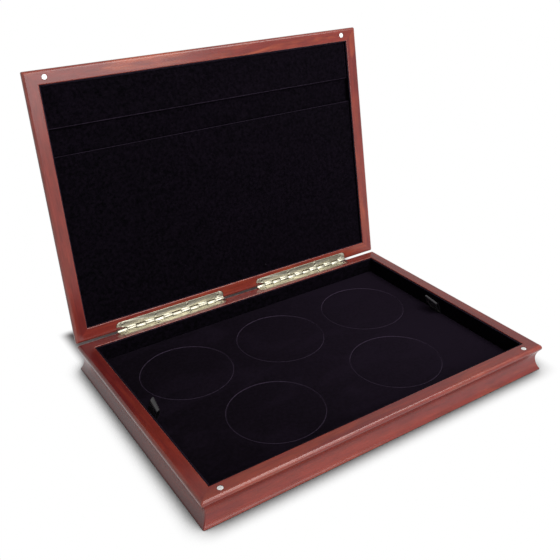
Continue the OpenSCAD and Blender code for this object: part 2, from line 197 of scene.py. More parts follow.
class VelvetSizes(bpy.types.PropertyGroup):
    """Velvet pieces"""
    board_edge: length("Board edge", "Round on the edges of a covered board", 0.45 * MM)
    pad_edge: length("Pad edge", "Round on the outer edges of a padded piece", 0.95 * MM)
    disc_edge: length("Disc edge", "Round on the edge of a disc", 0.8 * MM)
    disc_gap: length("Disc gap", "Gap between a disc's pile and the well's", 0.12 * MM)
    disc_rise: length("Disc rise", "How far a disc's pile stands up above its card", 0.2 * MM)
    pad_cell: length("Pad cell", "Spacing of the points on a padded piece", 3.2 * MM)
    puff: length("Puff", "How far the padding may swell", 0.3 * MM)


class RibbonSizes(bpy.types.PropertyGroup):
    """Pull ribbons"""
    cloth: length("Cloth", "Thickness of the ribbon", 0.4 * MM)
    layer: length("Layer", "Room that one layer takes in the notch", 0.6 * MM)
    tail: length("Tail", "Length glued under the tray", 20 * MM)
    loop: length("Loop", "Length of the loop above the tray", 17.2 * MM)
    bulge: length("Bulge", "Greatest thickness of the loop", 5.0 * MM)
    lean: angle("Lean", "Lean of the loop towards the middle of the tray", 27)
    skew: share("Skew", "How much longer the loop is at its back edge than at its front edge", 0.22)
    rows: count("Rows", "Points across the ribbon", 9, 3, 21)


class MetalSizes(bpy.types.PropertyGroup):
    """Hinges, screws and magnets"""
    leaf: length("Leaf", "Thickness of a leaf", 1.0 * MM)
    leaf_corner: length("Leaf corner", "Radius of a leaf's corners", 4.0 * MM)
    leaf_ease: length("Leaf ease", "Softening of a leaf's edges", 0.13 * MM)
    knuckles: count("Knuckles", "Number of knuckles on a hinge, half on each leaf", 12, 4, 24)
    barrel: length("Barrel", "Outer radius of the barrel", 1.6 * MM)
    curl: length("Curl", "Radius of the bend where a leaf curls up into its knuckles", 1.2 * MM)
    knuckle_gap: length("Knuckle gap", "Gap between neighbouring knuckles", 0.42 * MM)
    slot: length("Slot", "Gap between a knuckle and the other leaf", 0.75 * MM)
    barrel_room: length("Barrel room", "Clearance round the barrel in the wood", 0.5 * MM)
    mortise_gap: length("Mortise gap", "Gap between a leaf and the wood at its ends", 0.3 * MM)
    screws: count("Screws", "Number of screws in a leaf", 4, 2, 6)
    shank: length("Shank", "Radius of a screw's shank", 0.9 * MM)
    countersink: length("Countersink", "Gap round a screw's head", 0.3 * MM)
    sink: length("Sink", "Depth of a screw's head below the leaf's face", 0.15 * MM)
    cross_width: length("Cross width", "Width of the cross cut in a screw's head", 0.5 * MM)
    cross_length: length("Cross length", "Length of that cross", 2.4 * MM)
    cross_depth: length("Cross depth", "Depth of that cross", 0.5 * MM)
    magnet_edge: length("Magnet edge", "Round on a magnet's edge", 0.35 * MM)
    magnet_dome: length("Magnet dome", "Height of the slight dome of a magnet's face", 0.1 * MM)
    seat_gap: length("Seat gap", "Gap round a magnet or a screw's shank in the wood", 0.06 * MM)


class CaseColours(bpy.types.PropertyGroup):
    """Colours of the finishes"""
    cherry_pale: colour("Pale cherry", "Orange light streaks of the stained wood", shade(182, 84, 52))
    cherry_mid: colour("Cherry", "Main colour of the stained wood", shade(142, 50, 38))
    cherry_deep: colour("Deep cherry", "Dark wine-red streaks of the stained wood", shade(104, 28, 34))
    # Rubbed stain and painted highlight along the rails' edges
    worn_edge: colour("Worn edge", "Stain rubbed thin along the edges, with painted highlight", shade(190, 110, 92))
    # Painted shade: the linings are the tray's velvet made far darker, for the walls and lid that get less
    # light
    lining: colour("Lining", "Pile of the linings, seen straight on", shade(1, 1, 2))
    velvet: colour("Velvet", "Pile of the tray's velvet, seen straight on", shade(10, 7, 11))
    velvet_brushed: colour("Brushed velvet", "Pile of the velvet where it is brushed up", shade(30, 23, 34))
    velvet_bent: colour("Bent velvet", "Painted sheen of the velvet along rounded edges", shade(92, 78, 100))
    # Painted sheen along the velvet's rounded edges
    velvet_sheen: colour("Velvet sheen", "Tint of the light along the pile", shade(170, 150, 185))
    lint: colour("Lint", "Specks of lint", shade(120, 112, 120))
    satin: colour("Satin", "Pull ribbons", shade(16, 14, 18))
    satin_pale: colour("Pale satin", "Faded patches of the pull ribbons", shade(34, 30, 36))
    nickel: colour("Nickel", "Hinges and screws", shade(200, 196, 178))
    nickel_dull: colour("Dull nickel", "Tarnish on the hinges and screws", shade(150, 144, 124))
    # Colour of the painted shade that darkens narrow places on wood and metal
    grime: colour("Grime", "Painted shade in narrow places", shade(34, 14, 12))
    # Plating colour; at half metal its white diffuse also paints in the magnets' bright reflection
    magnet: colour("Magnet", "Plating of the magnets", shade(252, 252, 250))


class StageSettings(bpy.types.PropertyGroup):
    """Camera, floor and lamps"""
    camera_place: location("Camera place", "Where the camera stands", (-0.3458, -0.5155, 0.4166))
    azimuth: angle("Azimuth", "Turn of the camera round the case", -34.0746)
    elevation: angle("Elevation", "Height of the camera above the horizon", 24.727)
    roll: angle("Roll", "Roll of the camera", -0.7931)
    lens: FloatProperty(name="Lens", description="Focal length in millimetres", default=50.713, min=20,
                        max=200, unit="CAMERA")
    shift_x: FloatProperty(name="Shift X", description="Sideways shift of the lens", default=-0.0525)
    shift_y: FloatProperty(name="Shift Y", description="Upward shift of the lens", default=-0.0686)
    floor_reach: length("Floor reach", "Distance from the middle of the floor to its edges", 6.0)
    floor_paint: share("Floor paint", "Grey of the floor close to the case", 0.8)
    shadow_reach: length("Shadow reach", "How far from the case the floor turns white", 14 * MM)
    shadow_fall: location("Shadow fall", "How far the shadow lies to one side", (4 * MM, -2 * MM, 0))
    lid_reach: length("Lid reach", "Reach of the shade under the open lid", 120 * MM)
    contact_reach: length("Contact reach", "Reach of the soft shadow where the case meets the floor", 18 * MM)
    shade_side: FloatVectorProperty(name="Shade side", size=3, default=(-0.55, 0.75, 0.4), subtype="DIRECTION",
                                    description="Direction in which the case darkens the floor most")
    top_lamp: power("Top lamp", "Power of the softbox above on the right", 7.0)
    top_place: location("Top lamp place", "Where the softbox hangs", (0.42, -0.55, 1.0))
    top_size: rectangle("Top lamp size", "Width and height of the softbox", (0.75, 0.6))
    front_lamp: power("Front lamp", "Power of the broad lamp in front", 16.0)
    front_place: location("Front lamp place", "Where the broad lamp stands", (0.1, -1.7, 0.75))
    front_size: rectangle("Front lamp size", "Width and height of the broad lamp", (1.6, 1.0))
    lamp_aim: location("Lamp aim", "Point that both lamps face", (0, 0, 50 * MM))
    room: FloatProperty(name="Room", description="Strength of the dim room round the case", default=0.12)
    backdrop: FloatProperty(name="Backdrop", description="Brightness of the room in reflections", default=0.6)


SETTINGS = {"case_moulding": MouldingSizes, "case_velvet": VelvetSizes, "case_ribbon": RibbonSizes,
            "case_metal": MetalSizes, "case_colours": CaseColours, "case_stage": StageSettings}


# Building node trees

def fill_inputs(tree, made, inputs):
    """Sets a node's inputs to values or links sockets to them."""
    for key, value in inputs.items():
        if isinstance(value, bpy.types.NodeSocket):
            tree.links.new(value, made.inputs[key])
        else:
            made.inputs[key].default_value = value


def node(tree, kind, inputs=None, **settings):
    made = tree.nodes.new(kind)
    for key, value in settings.items():
        setattr(made, key, value)
    fill_inputs(tree, made, inputs or {})
    return made


def maths(tree, operation, a, b=0.0, clamp=False):
    return node(tree, "ShaderNodeMath", {0: a, 1: b}, operation=operation, use_clamp=clamp).outputs[0]


def times(tree, a, b, clamp=False):
    return maths(tree, "MULTIPLY", a, b, clamp)


def plus(tree, a, b, clamp=False):
    return maths(tree, "ADD", a, b, clamp)


def minus(tree, a, b):
    return maths(tree, "SUBTRACT", a, b)


def larger(tree, a, b):
    return maths(tree, "MAXIMUM", a, b)


def vector_maths(tree, operation, a, b=(0, 0, 0)):
    made = node(tree, "ShaderNodeVectorMath", {0: a, 1: b}, operation=operation)
    return made.outputs["Value" if operation == "LENGTH" else "Vector"]


def ramp(tree, value, low, high, to_low=0.0, to_high=1.0):
    """Maps value from low..high to to_low..to_high with a soft start and end."""
    return node(tree, "ShaderNodeMapRange", {0: value, 1: low, 2: high, 3: to_low, 4: to_high},
                interpolation_type="SMOOTHSTEP").outputs[0]


def blended(tree, factor, a, b, mode="MIX"):
    return node(tree, "ShaderNodeMix", {0: factor, 6: a, 7: b}, data_type="RGBA", blend_type=mode).outputs[2]


def grey(tree, value):
    return node(tree, "ShaderNodeCombineColor", {0: value, 1: value, 2: value}).outputs[0]


def clouds(tree, vector, scale, detail=2.0, roughness=0.5, distortion=0.0):
    return node(tree, "ShaderNodeTexNoise", {"Vector": vector, "Scale": scale, "Detail": detail,
                                             "Roughness": roughness, "Distortion": distortion}).outputs["Fac"]


def streaks(tree, vector, scale, detail=3.0, roughness=0.6, distortion=0.0):
    """Noise drawn out along the axes whose scale is small."""
    drawn_out = node(tree, "ShaderNodeMapping", {"Vector": vector, "Scale": scale}).outputs[0]
    return clouds(tree, drawn_out, 1.0, detail, roughness, distortion)


def in_piece_frame(tree, coordinates, place):
    """Row coordinates as coordinates in the piece frame that place turns into the row frame."""
    return node(tree, "ShaderNodeMapping", {"Vector": coordinates, "Location": place.to_translation(),
                                            "Rotation": Vector(place.to_euler())},
                vector_type="TEXTURE").outputs[0]


def new_group(name, kind, inputs, outputs):
    """A node group with named sockets: the tree, its input sockets and its output node."""
    tree = bpy.data.node_groups.new(name, kind)
    for label, socket, default in inputs:
        made = tree.interface.new_socket(label, in_out="INPUT", socket_type=socket)
        if default is not None:
            made.default_value = default
    for label, socket in outputs:
        tree.interface.new_socket(label, in_out="OUTPUT", socket_type=socket)
    return tree, tree.nodes.new("NodeGroupInput").outputs, tree.nodes.new("NodeGroupOutput")


def shared(build):
    """The node group that build makes, made the first time it is asked for."""
    return bpy.data.node_groups.get(build.__name__) or build(build.__name__)


def effect(tree, build, inputs):
    """Places a shared shader group in a material."""
    made = tree.nodes.new("ShaderNodeGroup")
    made.node_tree = shared(build)
    fill_inputs(tree, made, inputs)
    return made.outputs


def emptied(owner):
    """The cleared node tree of a new material or world."""
    owner.use_nodes = True
    owner.node_tree.nodes.clear()
    return owner.node_tree


def new_material(name):
    """A material with its shader, and the socket of its Object coordinates."""
    made = bpy.data.materials.new(name)
    tree = emptied(made)
    shader = tree.nodes.new("ShaderNodeBsdfPrincipled")
    tree.links.new(shader.outputs[0], tree.nodes.new("ShaderNodeOutputMaterial").inputs["Surface"])
    return made, tree, shader, tree.nodes.new("ShaderNodeTexCoord").outputs["Object"]


def fixed(shader, **values):
    """Sets plain values on a shader's own sockets."""
    for label, value in values.items():
        shader.inputs[label.replace("_", " ")].default_value = value


def bump(tree, shader, height, strength, distance):
    normal = node(tree, "ShaderNodeBump", {"Height": height, "Strength": strength, "Distance": distance})
    tree.links.new(normal.outputs[0], shader.inputs["Normal"])


def openness(tree, reach, samples, **inputs):
    """How open a place is to its surroundings within reach: 1 in the open and 0 where it is closed in."""
    inputs["Distance"] = reach
    return node(tree, "ShaderNodeAmbientOcclusion", inputs, samples=samples).outputs["AO"]


def crevices(tree, reach):
    """Mask of narrow, closed-in places, where shade falls and is painted into the colour."""
    return ramp(tree, openness(tree, reach, samples=8), 0.3, 0.75, 1.0, 0.0)


def background_rays(tree):
    """Light Path sockets: rays from the camera, and rays mirrored or let through by the object."""
    path = tree.nodes.new("ShaderNodeLightPath").outputs
    return path["Is Camera Ray"], larger(tree, path["Is Glossy Ray"], path["Is Transmission Ray"])


# Effects that several finishes share

def cherry_grain(name):
    """Stained wood with its grain along X: streaks, warm patches, fibres and pores."""
    tree, given, out = new_group(name, "ShaderNodeTree", [
        ("Vector", "NodeSocketVector", None), ("Pale", "NodeSocketColor", None),
        ("Main", "NodeSocketColor", None), ("Deep", "NodeSocketColor", None),
        ("Figure", "NodeSocketFloat", 1.0), ("Warmth", "NodeSocketFloat", 0.5)],
        [("Color", "NodeSocketColor"), ("Height", "NodeSocketFloat"), ("Gloss", "NodeSocketFloat")])
    vector = given["Vector"]
    bands = streaks(tree, vector, (5, 90, 90), detail=4.0, roughness=0.55, distortion=0.6)
    patches = streaks(tree, vector, (11, 60, 60), distortion=0.4)
    mottle = streaks(tree, vector, (55, 190, 190))
    fibres = streaks(tree, vector, (45, 1500, 1500))
    pores = streaks(tree, vector, (260, 4200, 4200), detail=1.0, roughness=0.5)
    dark = times(tree, ramp(tree, bands, 0.38, 0.64), given["Figure"], True)
    base = blended(tree, dark, given["Main"], given["Deep"])
    warm = times(tree, ramp(tree, patches, 0.47, 0.7), given["Warmth"], True)
    tinted = blended(tree, warm, base, given["Pale"])
    uneven = times(tree, ramp(tree, fibres, 0.3, 0.7, 0.88, 1.08),
                   ramp(tree, mottle, 0.3, 0.7, 0.86, 1.1))
    grained = blended(tree, 1.0, tinted, grey(tree, uneven), "MULTIPLY")
    holes = ramp(tree, pores, 0.66, 0.76)
    stain = blended(tree, times(tree, holes, 0.3), grained, given["Deep"])
    tree.links.new(stain, out.inputs["Color"])
    tree.links.new(minus(tree, fibres, times(tree, holes, 0.4)), out.inputs["Height"])
    tree.links.new(ramp(tree, mottle, 0.3, 0.7, -0.05, 0.06), out.inputs["Gloss"])
    return tree


def rubbed_edges(name):
    """Mask along a rail's crown, rim edge and foot, in the rail's own frame, broken up as by handling: rubbed
    wear on all of them, and a painted highlight along the crown, rim edge and foot.
    """
    tree, given, out = new_group(name, "ShaderNodeTree", [
        ("Vector", "NodeSocketVector", None), ("Height", "NodeSocketFloat", 0.02),
        ("Width", "NodeSocketFloat", 0.01), ("Foot", "NodeSocketFloat", 0.0),
        ("Reach", "NodeSocketFloat", 0.1)], [("Mask", "NodeSocketFloat")])
    x, y, z = node(tree, "ShaderNodeSeparateXYZ", {0: given["Vector"]}).outputs[:3]

    def line(across, across_at, up, up_at, reach):
        a = minus(tree, across, across_at)
        b = minus(tree, up, up_at)
        squares = plus(tree, times(tree, a, a), times(tree, b, b))
        far = maths(tree, "SQRT", squares)
        return ramp(tree, far, 0.35 * reach, reach, 1.0, 0.0)

    # Each line is rubbed wear and painted highlight in one, the crown's most of all
    inner = line(y, given["Width"], z, given["Height"], 0.75 * MM)
    crown = times(tree, line(y, 0.0, z, given["Height"], 2.4 * MM), 0.7)
    foot = times(tree, line(y, given["Foot"], z, 0.0, 1.2 * MM), 0.4)
    corner = line(maths(tree, "ABSOLUTE", x), given["Reach"], y, given["Foot"], 1.1 * MM)
    lines = larger(tree, larger(tree, inner, crown), larger(tree, foot, corner))
    broken = streaks(tree, given["Vector"], (90, 500, 500))
    rubbed_and_highlit = times(tree, lines, ramp(tree, broken, 0.35, 0.65, 0.25, 1.0))
    tree.links.new(rubbed_and_highlit, out.inputs["Mask"])
    return tree


def velvet_nap(name):
    """Short pile, brushed this way and that, with specks of lint, lighter along rounded edges as painted sheen
    and lighter by Lean as painted light.
    """
    tree, given, out = new_group(name, "ShaderNodeTree", [
        ("Vector", "NodeSocketVector", None), ("Edge", "NodeSocketFloat", 0.0),
        ("Lean", "NodeSocketFloat", 0.0), ("Brushing", "NodeSocketFloat", 0.5),
        ("Flat", "NodeSocketColor", None), ("Brushed", "NodeSocketColor", None),
        ("Bent", "NodeSocketColor", None), ("Lint", "NodeSocketColor", None)],
        [("Color", "NodeSocketColor"), ("Height", "NodeSocketFloat"), ("Roughness", "NodeSocketFloat")])
    vector = given["Vector"]
    pile = clouds(tree, vector, 1500.0, detail=2.0, roughness=0.7)
    tufts = clouds(tree, vector, 330.0, detail=3.0, roughness=0.65)
    strokes = streaks(tree, vector, (14, 30, 22), roughness=0.55, distortion=0.8)
    brushed = times(tree, ramp(tree, strokes, 0.42, 0.72), given["Brushing"], True)
    texture = plus(tree, times(tree, pile, 0.5), times(tree, tufts, 0.5))
    fine = ramp(tree, texture, 0.35, 0.68, 0.0, 0.5)
    # Lean lightens the pile as painted light falling from one side
    tone = plus(tree, plus(tree, brushed, fine), given["Lean"], True)
    pressed = blended(tree, tone, given["Flat"], given["Brushed"])
    # Painted sheen: the pile turns lighter where it rounds an edge
    edge_sheen = times(tree, given["Edge"], ramp(tree, tufts, 0.3, 0.6, 0.6, 1.0), True)
    cloth = blended(tree, edge_sheen, pressed, given["Bent"])
    cells = node(tree, "ShaderNodeTexVoronoi", {"Vector": vector, "Scale": 52.0})
    chance = node(tree, "ShaderNodeSeparateColor", {0: cells.outputs["Color"]}).outputs
    speck = times(tree, ramp(tree, cells.outputs["Distance"], 0.008, 0.016, 1.0, 0.0),
                  maths(tree, "GREATER_THAN", chance[0], 0.78))
    dusty = blended(tree, times(tree, speck, chance[1]), cloth, given["Lint"])
    tree.links.new(dusty, out.inputs["Color"])
    tree.links.new(plus(tree, pile, times(tree, tufts, 1.5)), out.inputs["Height"])
    tree.links.new(ramp(tree, strokes, 0.3, 0.7, 0.8, 0.95), out.inputs["Roughness"])
    return tree


def plated_metal(name):
    """Plating with fine lines along X, dull patches and fingermarks."""
    tree, given, out = new_group(name, "ShaderNodeTree", [
        ("Vector", "NodeSocketVector", None), ("Bright", "NodeSocketColor", None),
        ("Dull", "NodeSocketColor", None), ("Tarnish", "NodeSocketFloat", 0.5)],
        [("Color", "NodeSocketColor"), ("Height", "NodeSocketFloat"), ("Roughness", "NodeSocketFloat")])
    lines = streaks(tree, given["Vector"], (70, 2600, 2600))
    marks = streaks(tree, given["Vector"], (90, 320, 320), distortion=0.4)
    stain = times(tree, ramp(tree, marks, 0.42, 0.72), given["Tarnish"], True)
    tree.links.new(blended(tree, stain, given["Bright"], given["Dull"]), out.inputs["Color"])
    tree.links.new(lines, out.inputs["Height"])
    brushed = ramp(tree, lines, 0.3, 0.7, 0.0, 0.1)
    tree.links.new(plus(tree, brushed, times(tree, stain, 0.14)), out.inputs["Roughness"])
    return tree


# Finishes

def cherry(name, place, shift, warmth, figure, rail=None):
    """Satin-lacquered stained cherry with its grain along the piece frame's X.

    rail is the height, the length and the foot's inset of a rail whose edges get rubbed wear and a painted
    highlight."""
    colours = bpy.context.scene.case_colours
    made, tree, shader, coordinates = new_material(name)
    own = in_piece_frame(tree, coordinates, place)
    moved = node(tree, "ShaderNodeMapping", {"Vector": own, "Location": (shift, 0.37 * shift, 0.61 * shift)})
    grain = effect(tree, cherry_grain, {
        "Vector": moved.outputs[0], "Pale": colours.cherry_pale, "Main": colours.cherry_mid,
        "Deep": colours.cherry_deep, "Figure": figure, "Warmth": warmth})
    stain = grain["Color"]
    if rail:
        rubbed_and_highlit = effect(tree, rubbed_edges, {
            "Vector": own, "Height": rail[0], "Width": RAIL_WIDTH, "Reach": rail[1] / 2, "Foot": rail[2]})
        # Rubbed stain and painted highlight along the edges
        stain = blended(tree, times(tree, rubbed_and_highlit["Mask"], 0.6), stain, colours.worn_edge)
    # Painted shade: narrow places turn darker and lose their coat
    narrow = times(tree, crevices(tree, 1.6 * MM), 0.85)
    tree.links.new(blended(tree, narrow, stain, colours.grime), shader.inputs["Base Color"])
    tree.links.new(plus(tree, grain["Gloss"], 0.5), shader.inputs["Roughness"])
    tree.links.new(minus(tree, 1.0, narrow), shader.inputs["Coat Weight"])
    bump(tree, shader, grain["Height"], 0.1, 0.05 * MM)
    fixed(shader, Specular_IOR_Level=0.12, Coat_Roughness=0.2, Coat_IOR=1.5)
    return made


def velvet(name, flat, brushing, sheen, edge=0.7, lean=0.0):
    """Velvet that turns lighter towards the right by the share lean, a painted gradient of the light falling
    from the right.
    """
    colours = bpy.context.scene.case_colours
    made, tree, shader, coordinates = new_material(name)
    rounded = node(tree, "ShaderNodeAttribute", attribute_name="pile_edge").outputs["Fac"]
    x = node(tree, "ShaderNodeSeparateXYZ", {0: coordinates}).outputs["X"]
    # Painted light: the pile lightens towards +X by lean, and along rounded edges by edge as painted sheen
    nap = effect(tree, velvet_nap, {
        "Vector": coordinates, "Edge": times(tree, rounded, edge), "Brushing": brushing,
        "Lean": ramp(tree, x, -CASE_WIDTH / 2, CASE_WIDTH / 2, 0.0, lean), "Flat": flat,
        "Brushed": colours.velvet_brushed, "Bent": colours.velvet_bent, "Lint": colours.lint})
    tree.links.new(nap["Color"], shader.inputs["Base Color"])
    tree.links.new(nap["Roughness"], shader.inputs["Roughness"])
    bump(tree, shader, nap["Height"], 0.3, 0.1 * MM)
    fixed(shader, Specular_IOR_Level=0.02, Sheen_Weight=sheen, Sheen_Roughness=0.4,
          Sheen_Tint=colours.velvet_sheen)
    return made


def soft_velvet(name):
    """Velvet of the tray's top and the discs."""
    # The tray's velvet lightens towards the right as painted light
    return velvet(name, bpy.context.scene.case_colours.velvet, brushing=0.4, sheen=0.05, edge=0.55, lean=0.7)


def satin(name):
    """Woven ribbon with fine ribs across it."""
    colours = bpy.context.scene.case_colours
    made, tree, shader, coordinates = new_material(name)
    ribs = streaks(tree, coordinates, (3200, 160, 3200), detail=2.0, roughness=0.5)
    soft = clouds(tree, coordinates, 240.0, detail=2.0, roughness=0.5)
    dyed = blended(tree, ramp(tree, soft, 0.3, 0.7), colours.satin, colours.satin_pale)
    tree.links.new(dyed, shader.inputs["Base Color"])
    tree.links.new(ramp(tree, ribs, 0.3, 0.7, 0.22, 0.34), shader.inputs["Roughness"])
    bump(tree, shader, ribs, 0.2, 0.03 * MM)
    fixed(shader, Specular_IOR_Level=1.0, Sheen_Weight=0.1, Sheen_Roughness=0.3)
    return made


def nickel(name, place, tarnish, roughness):
    colours = bpy.context.scene.case_colours
    return plated(name, place, colours.nickel, colours.nickel_dull, tarnish, roughness)


def plated(name, place, bright, dull, tarnish, roughness, metallic=1.0):
    """Plated metal whose polish lines run along the piece frame's X."""
    made, tree, shader, coordinates = new_material(name)
    own = in_piece_frame(tree, coordinates, place)
    plating = effect(tree, plated_metal, {"Vector": own, "Bright": bright, "Dull": dull, "Tarnish": tarnish})
    # Painted shade: narrow places on the metal turn darker
    narrow = crevices(tree, 0.9 * MM)
    dirty = blended(tree, narrow, plating["Color"], bpy.context.scene.case_colours.grime)
    tree.links.new(dirty, shader.inputs["Base Color"])
    rough = plus(tree, plating["Roughness"], times(tree, narrow, 0.4))
    tree.links.new(plus(tree, rough, roughness, True), shader.inputs["Roughness"])
    bump(tree, shader, plating["Height"], 0.08, 0.02 * MM)
    fixed(shader, Metallic=metallic)
    return made


def pale_floor():
    """White away from the case, with the case's own soft shadow close to it."""
    stage = bpy.context.scene.case_stage
    half_width, half_depth = CASE_WIDTH / 2, CASE_DEPTH / 2
    lid_back = CAD_BOX[1][1]
    made = bpy.data.materials.new("pale_floor")
    tree = emptied(made)
    ground = node(tree, "ShaderNodeTexCoord").outputs["Object"]
    fallen = vector_maths(tree, "ABSOLUTE", vector_maths(tree, "SUBTRACT", ground, stage.shadow_fall))
    out_of = vector_maths(tree, "SUBTRACT", fallen, (half_width, half_depth, 0))
    distance = vector_maths(tree, "LENGTH", vector_maths(tree, "MAXIMUM", out_of))
    white_share = 0.8
    beyond = ramp(tree, distance, 0.0, stage.shadow_reach, white_share, 1.0)
    x, y = node(tree, "ShaderNodeSeparateXYZ", {0: ground}).outputs[:2]
    behind = ramp(tree, y, 0.9 * half_depth, half_depth)
    not_past = ramp(tree, y, lid_back, lid_back + stage.shadow_reach, 1.0, 0.0)
    within = ramp(tree, maths(tree, "ABSOLUTE", x), half_width - stage.shadow_reach, half_width, 1.0, 0.0)
    lid_shade = times(tree, times(tree, behind, not_past), within)
    away = times(tree, beyond, minus(tree, 1.0, lid_shade))
    camera_ray, mirrored_ray = background_rays(tree)
    seen = larger(tree, camera_ray, mirrored_ray)
    shade_side = Vector(stage.shade_side).normalized()
    shelter = openness(tree, stage.contact_reach, samples=12, Normal=shade_side)
    half_open, all_open, darkest = 0.5, 0.99, 0.03
    contact = node(tree, "ShaderNodeMapRange",
                   {0: shelter, 1: half_open, 2: all_open, 3: darkest, 4: 1.0}).outputs[0]
    closed_in = ramp(tree, openness(tree, stage.lid_reach, samples=12), 0.33, 0.63, 0.05, 1.0)
    shadow = times(tree, contact, closed_in)
    paint = times(tree, shadow, stage.floor_paint)
    lit = node(tree, "ShaderNodeBsdfDiffuse", {"Color": grey(tree, paint)}).outputs[0]
    white = node(tree, "ShaderNodeEmission", {"Color": grey(tree, shadow), "Strength": 1.0}).outputs[0]
    mixed = node(tree, "ShaderNodeMixShader", {0: times(tree, seen, away), 1: lit, 2: white})
    tree.links.new(mixed.outputs[0], tree.nodes.new("ShaderNodeOutputMaterial").inputs["Surface"])
    return made


# Geometry node trees

def tree_input(modifier, label, value):
    """Sets a modifier's input by its socket's identifier."""
    socket = next(item for item in modifier.node_group.interface.items_tree
                  if item.item_type == "SOCKET" and item.in_out == "INPUT" and item.name == label)
    modifier[socket.identifier] = value


def finish_tree(tree, geometry, material, out, label):
    """Ends a geometry tree with Realize Instances and Set Material."""
    real = node(tree, "GeometryNodeRealizeInstances", {"Geometry": geometry}).outputs[0]
    coated = node(tree, "GeometryNodeSetMaterial", {"Geometry": real, "Material": material}).outputs[0]
    tree.links.new(coated, out.inputs[label])


def swept_moulding(name):
    """Sweeps a rail's closed section along X to mitred ends whose outer edges are rounded over."""
    tree, given, out = new_group(name, "GeometryNodeTree", [
        ("Section", "NodeSocketGeometry", None), ("Length", "NodeSocketFloat", 0.3),
        ("Width", "NodeSocketFloat", 0.01), ("Corner Round", "NodeSocketFloat", 0.0005),
        ("Material", "NodeSocketMaterial", None)], [("Rail", "NodeSocketGeometry")])
    corner_steps = 4
    sections = 2 * (corner_steps + 1)
    size = node(tree, "GeometryNodeAttributeDomainSize", {0: given["Section"]}).outputs["Point Count"]
    lines = plus(tree, size, 1.0)
    grid = node(tree, "GeometryNodeMeshGrid", {"Vertices X": sections, "Vertices Y": lines}).outputs["Mesh"]
    index = tree.nodes.new("GeometryNodeInputIndex").outputs[0]
    ring = maths(tree, "FLOOR", maths(tree, "DIVIDE", plus(tree, index, 0.5), lines))
    line = minus(tree, index, times(tree, ring, lines))
    seam = maths(tree, "GREATER_THAN", line, minus(tree, size, 0.5))
    wrapped = minus(tree, line, times(tree, seam, size))
    position = tree.nodes.new("GeometryNodeInputPosition").outputs[0]
    sampled = node(tree, "GeometryNodeSampleIndex", {0: given["Section"], 1: position, 2: wrapped},
                   data_type="FLOAT_VECTOR", domain="POINT").outputs[0]
    y, z = node(tree, "ShaderNodeSeparateXYZ", {0: sampled}).outputs[1:3]
    from_end = maths(tree, "MINIMUM", ring, minus(tree, sections - 1, ring))
    done = maths(tree, "DIVIDE", from_end, corner_steps)
    turn = times(tree, minus(tree, 1.0, done), math.pi / 4)
    right_end = maths(tree, "GREATER_THAN", ring, corner_steps + 0.5)
    sign = minus(tree, times(tree, right_end, 2.0), 1.0)
    depth = minus(tree, 1.0, maths(tree, "DIVIDE", y, given["Width"]))
    radius = times(tree, times(tree, depth, 3.0, True), given["Corner Round"])
    half = minus(tree, times(tree, given["Length"], 0.5), y)
    straight = minus(tree, half, radius)
    along = plus(tree, straight, times(tree, radius, maths(tree, "SINE", turn)))
    inward = times(tree, radius, minus(tree, 1.0, maths(tree, "COSINE", turn)))
    spot = node(tree, "ShaderNodeCombineXYZ", {0: times(tree, sign, along),
                                               1: plus(tree, y, inward), 2: z}).outputs[0]
    moved = node(tree, "GeometryNodeSetPosition", {"Geometry": grid, "Position": spot}).outputs[0]
    merged = node(tree, "GeometryNodeMergeByDistance", {"Geometry": moved, "Distance": 0.002 * MM}).outputs[0]
    finish_tree(tree, merged, given["Material"], out, "Rail")
    return tree


def even_row(name):
    """Repeats a piece along X, evenly spaced about the middle."""
    tree, given, out = new_group(name, "GeometryNodeTree", [
        ("Piece", "NodeSocketGeometry", None), ("Count", "NodeSocketInt", 4),
        ("Pitch", "NodeSocketFloat", 0.01), ("Material", "NodeSocketMaterial", None)],
        [("Row", "NodeSocketGeometry")])
    gaps = minus(tree, given["Count"], 1.0)
    first = times(tree, times(tree, gaps, given["Pitch"]), -0.5)
    start = node(tree, "ShaderNodeCombineXYZ", {0: first}).outputs[0]
    step = node(tree, "ShaderNodeCombineXYZ", {0: given["Pitch"]}).outputs[0]
    line = node(tree, "GeometryNodeMeshLine", {"Count": given["Count"], "Start Location": start,
                                               "Offset": step}).outputs[0]
    row = node(tree, "GeometryNodeInstanceOnPoints", {"Points": line, "Instance": given["Piece"]}).outputs[0]
    finish_tree(tree, row, given["Material"], out, "Row")
    return tree


# Building meshes

def new_object(name, data):
    made = bpy.data.objects.new(name, data)
    bpy.context.scene.collection.objects.link(made)
    return made


def mesh_of(name, points, faces):
    mesh = bpy.data.meshes.new(name)
    mesh.from_pydata([tuple(p) for p in points], [], faces)
    mesh.update()
    return mesh


def remove(piece):
    mesh = piece.data
    bpy.data.objects.remove(piece)
    bpy.data.meshes.remove(mesh)


def plain(piece):
    """Turns a piece with modifiers into a plain mesh."""
    bpy.context.view_layer.update()
    evaluated = piece.evaluated_get(bpy.context.evaluated_depsgraph_get())
    mesh = bpy.data.meshes.new_from_object(evaluated)
    piece.modifiers.clear()
    old, piece.data = piece.data, mesh
    bpy.data.meshes.remove(old)
    mesh.name = piece.name
    return piece


def edit(mesh, work=None):
    """Runs work on the mesh's bmesh and turns its faces outwards."""
    bm = bmesh.new()
    bm.from_mesh(mesh)
    if work:
        work(bm)
    bmesh.ops.recalc_face_normals(bm, faces=bm.faces)
    bm.to_mesh(mesh)
    bm.free()
    mesh.update()


def merge_points(bm):
    bmesh.ops.remove_doubles(bm, verts=bm.verts, dist=0.001 * MM)


def close_ends(bm):
    merge_points(bm)
    bmesh.ops.holes_fill(bm, edges=bm.edges, sides=0)


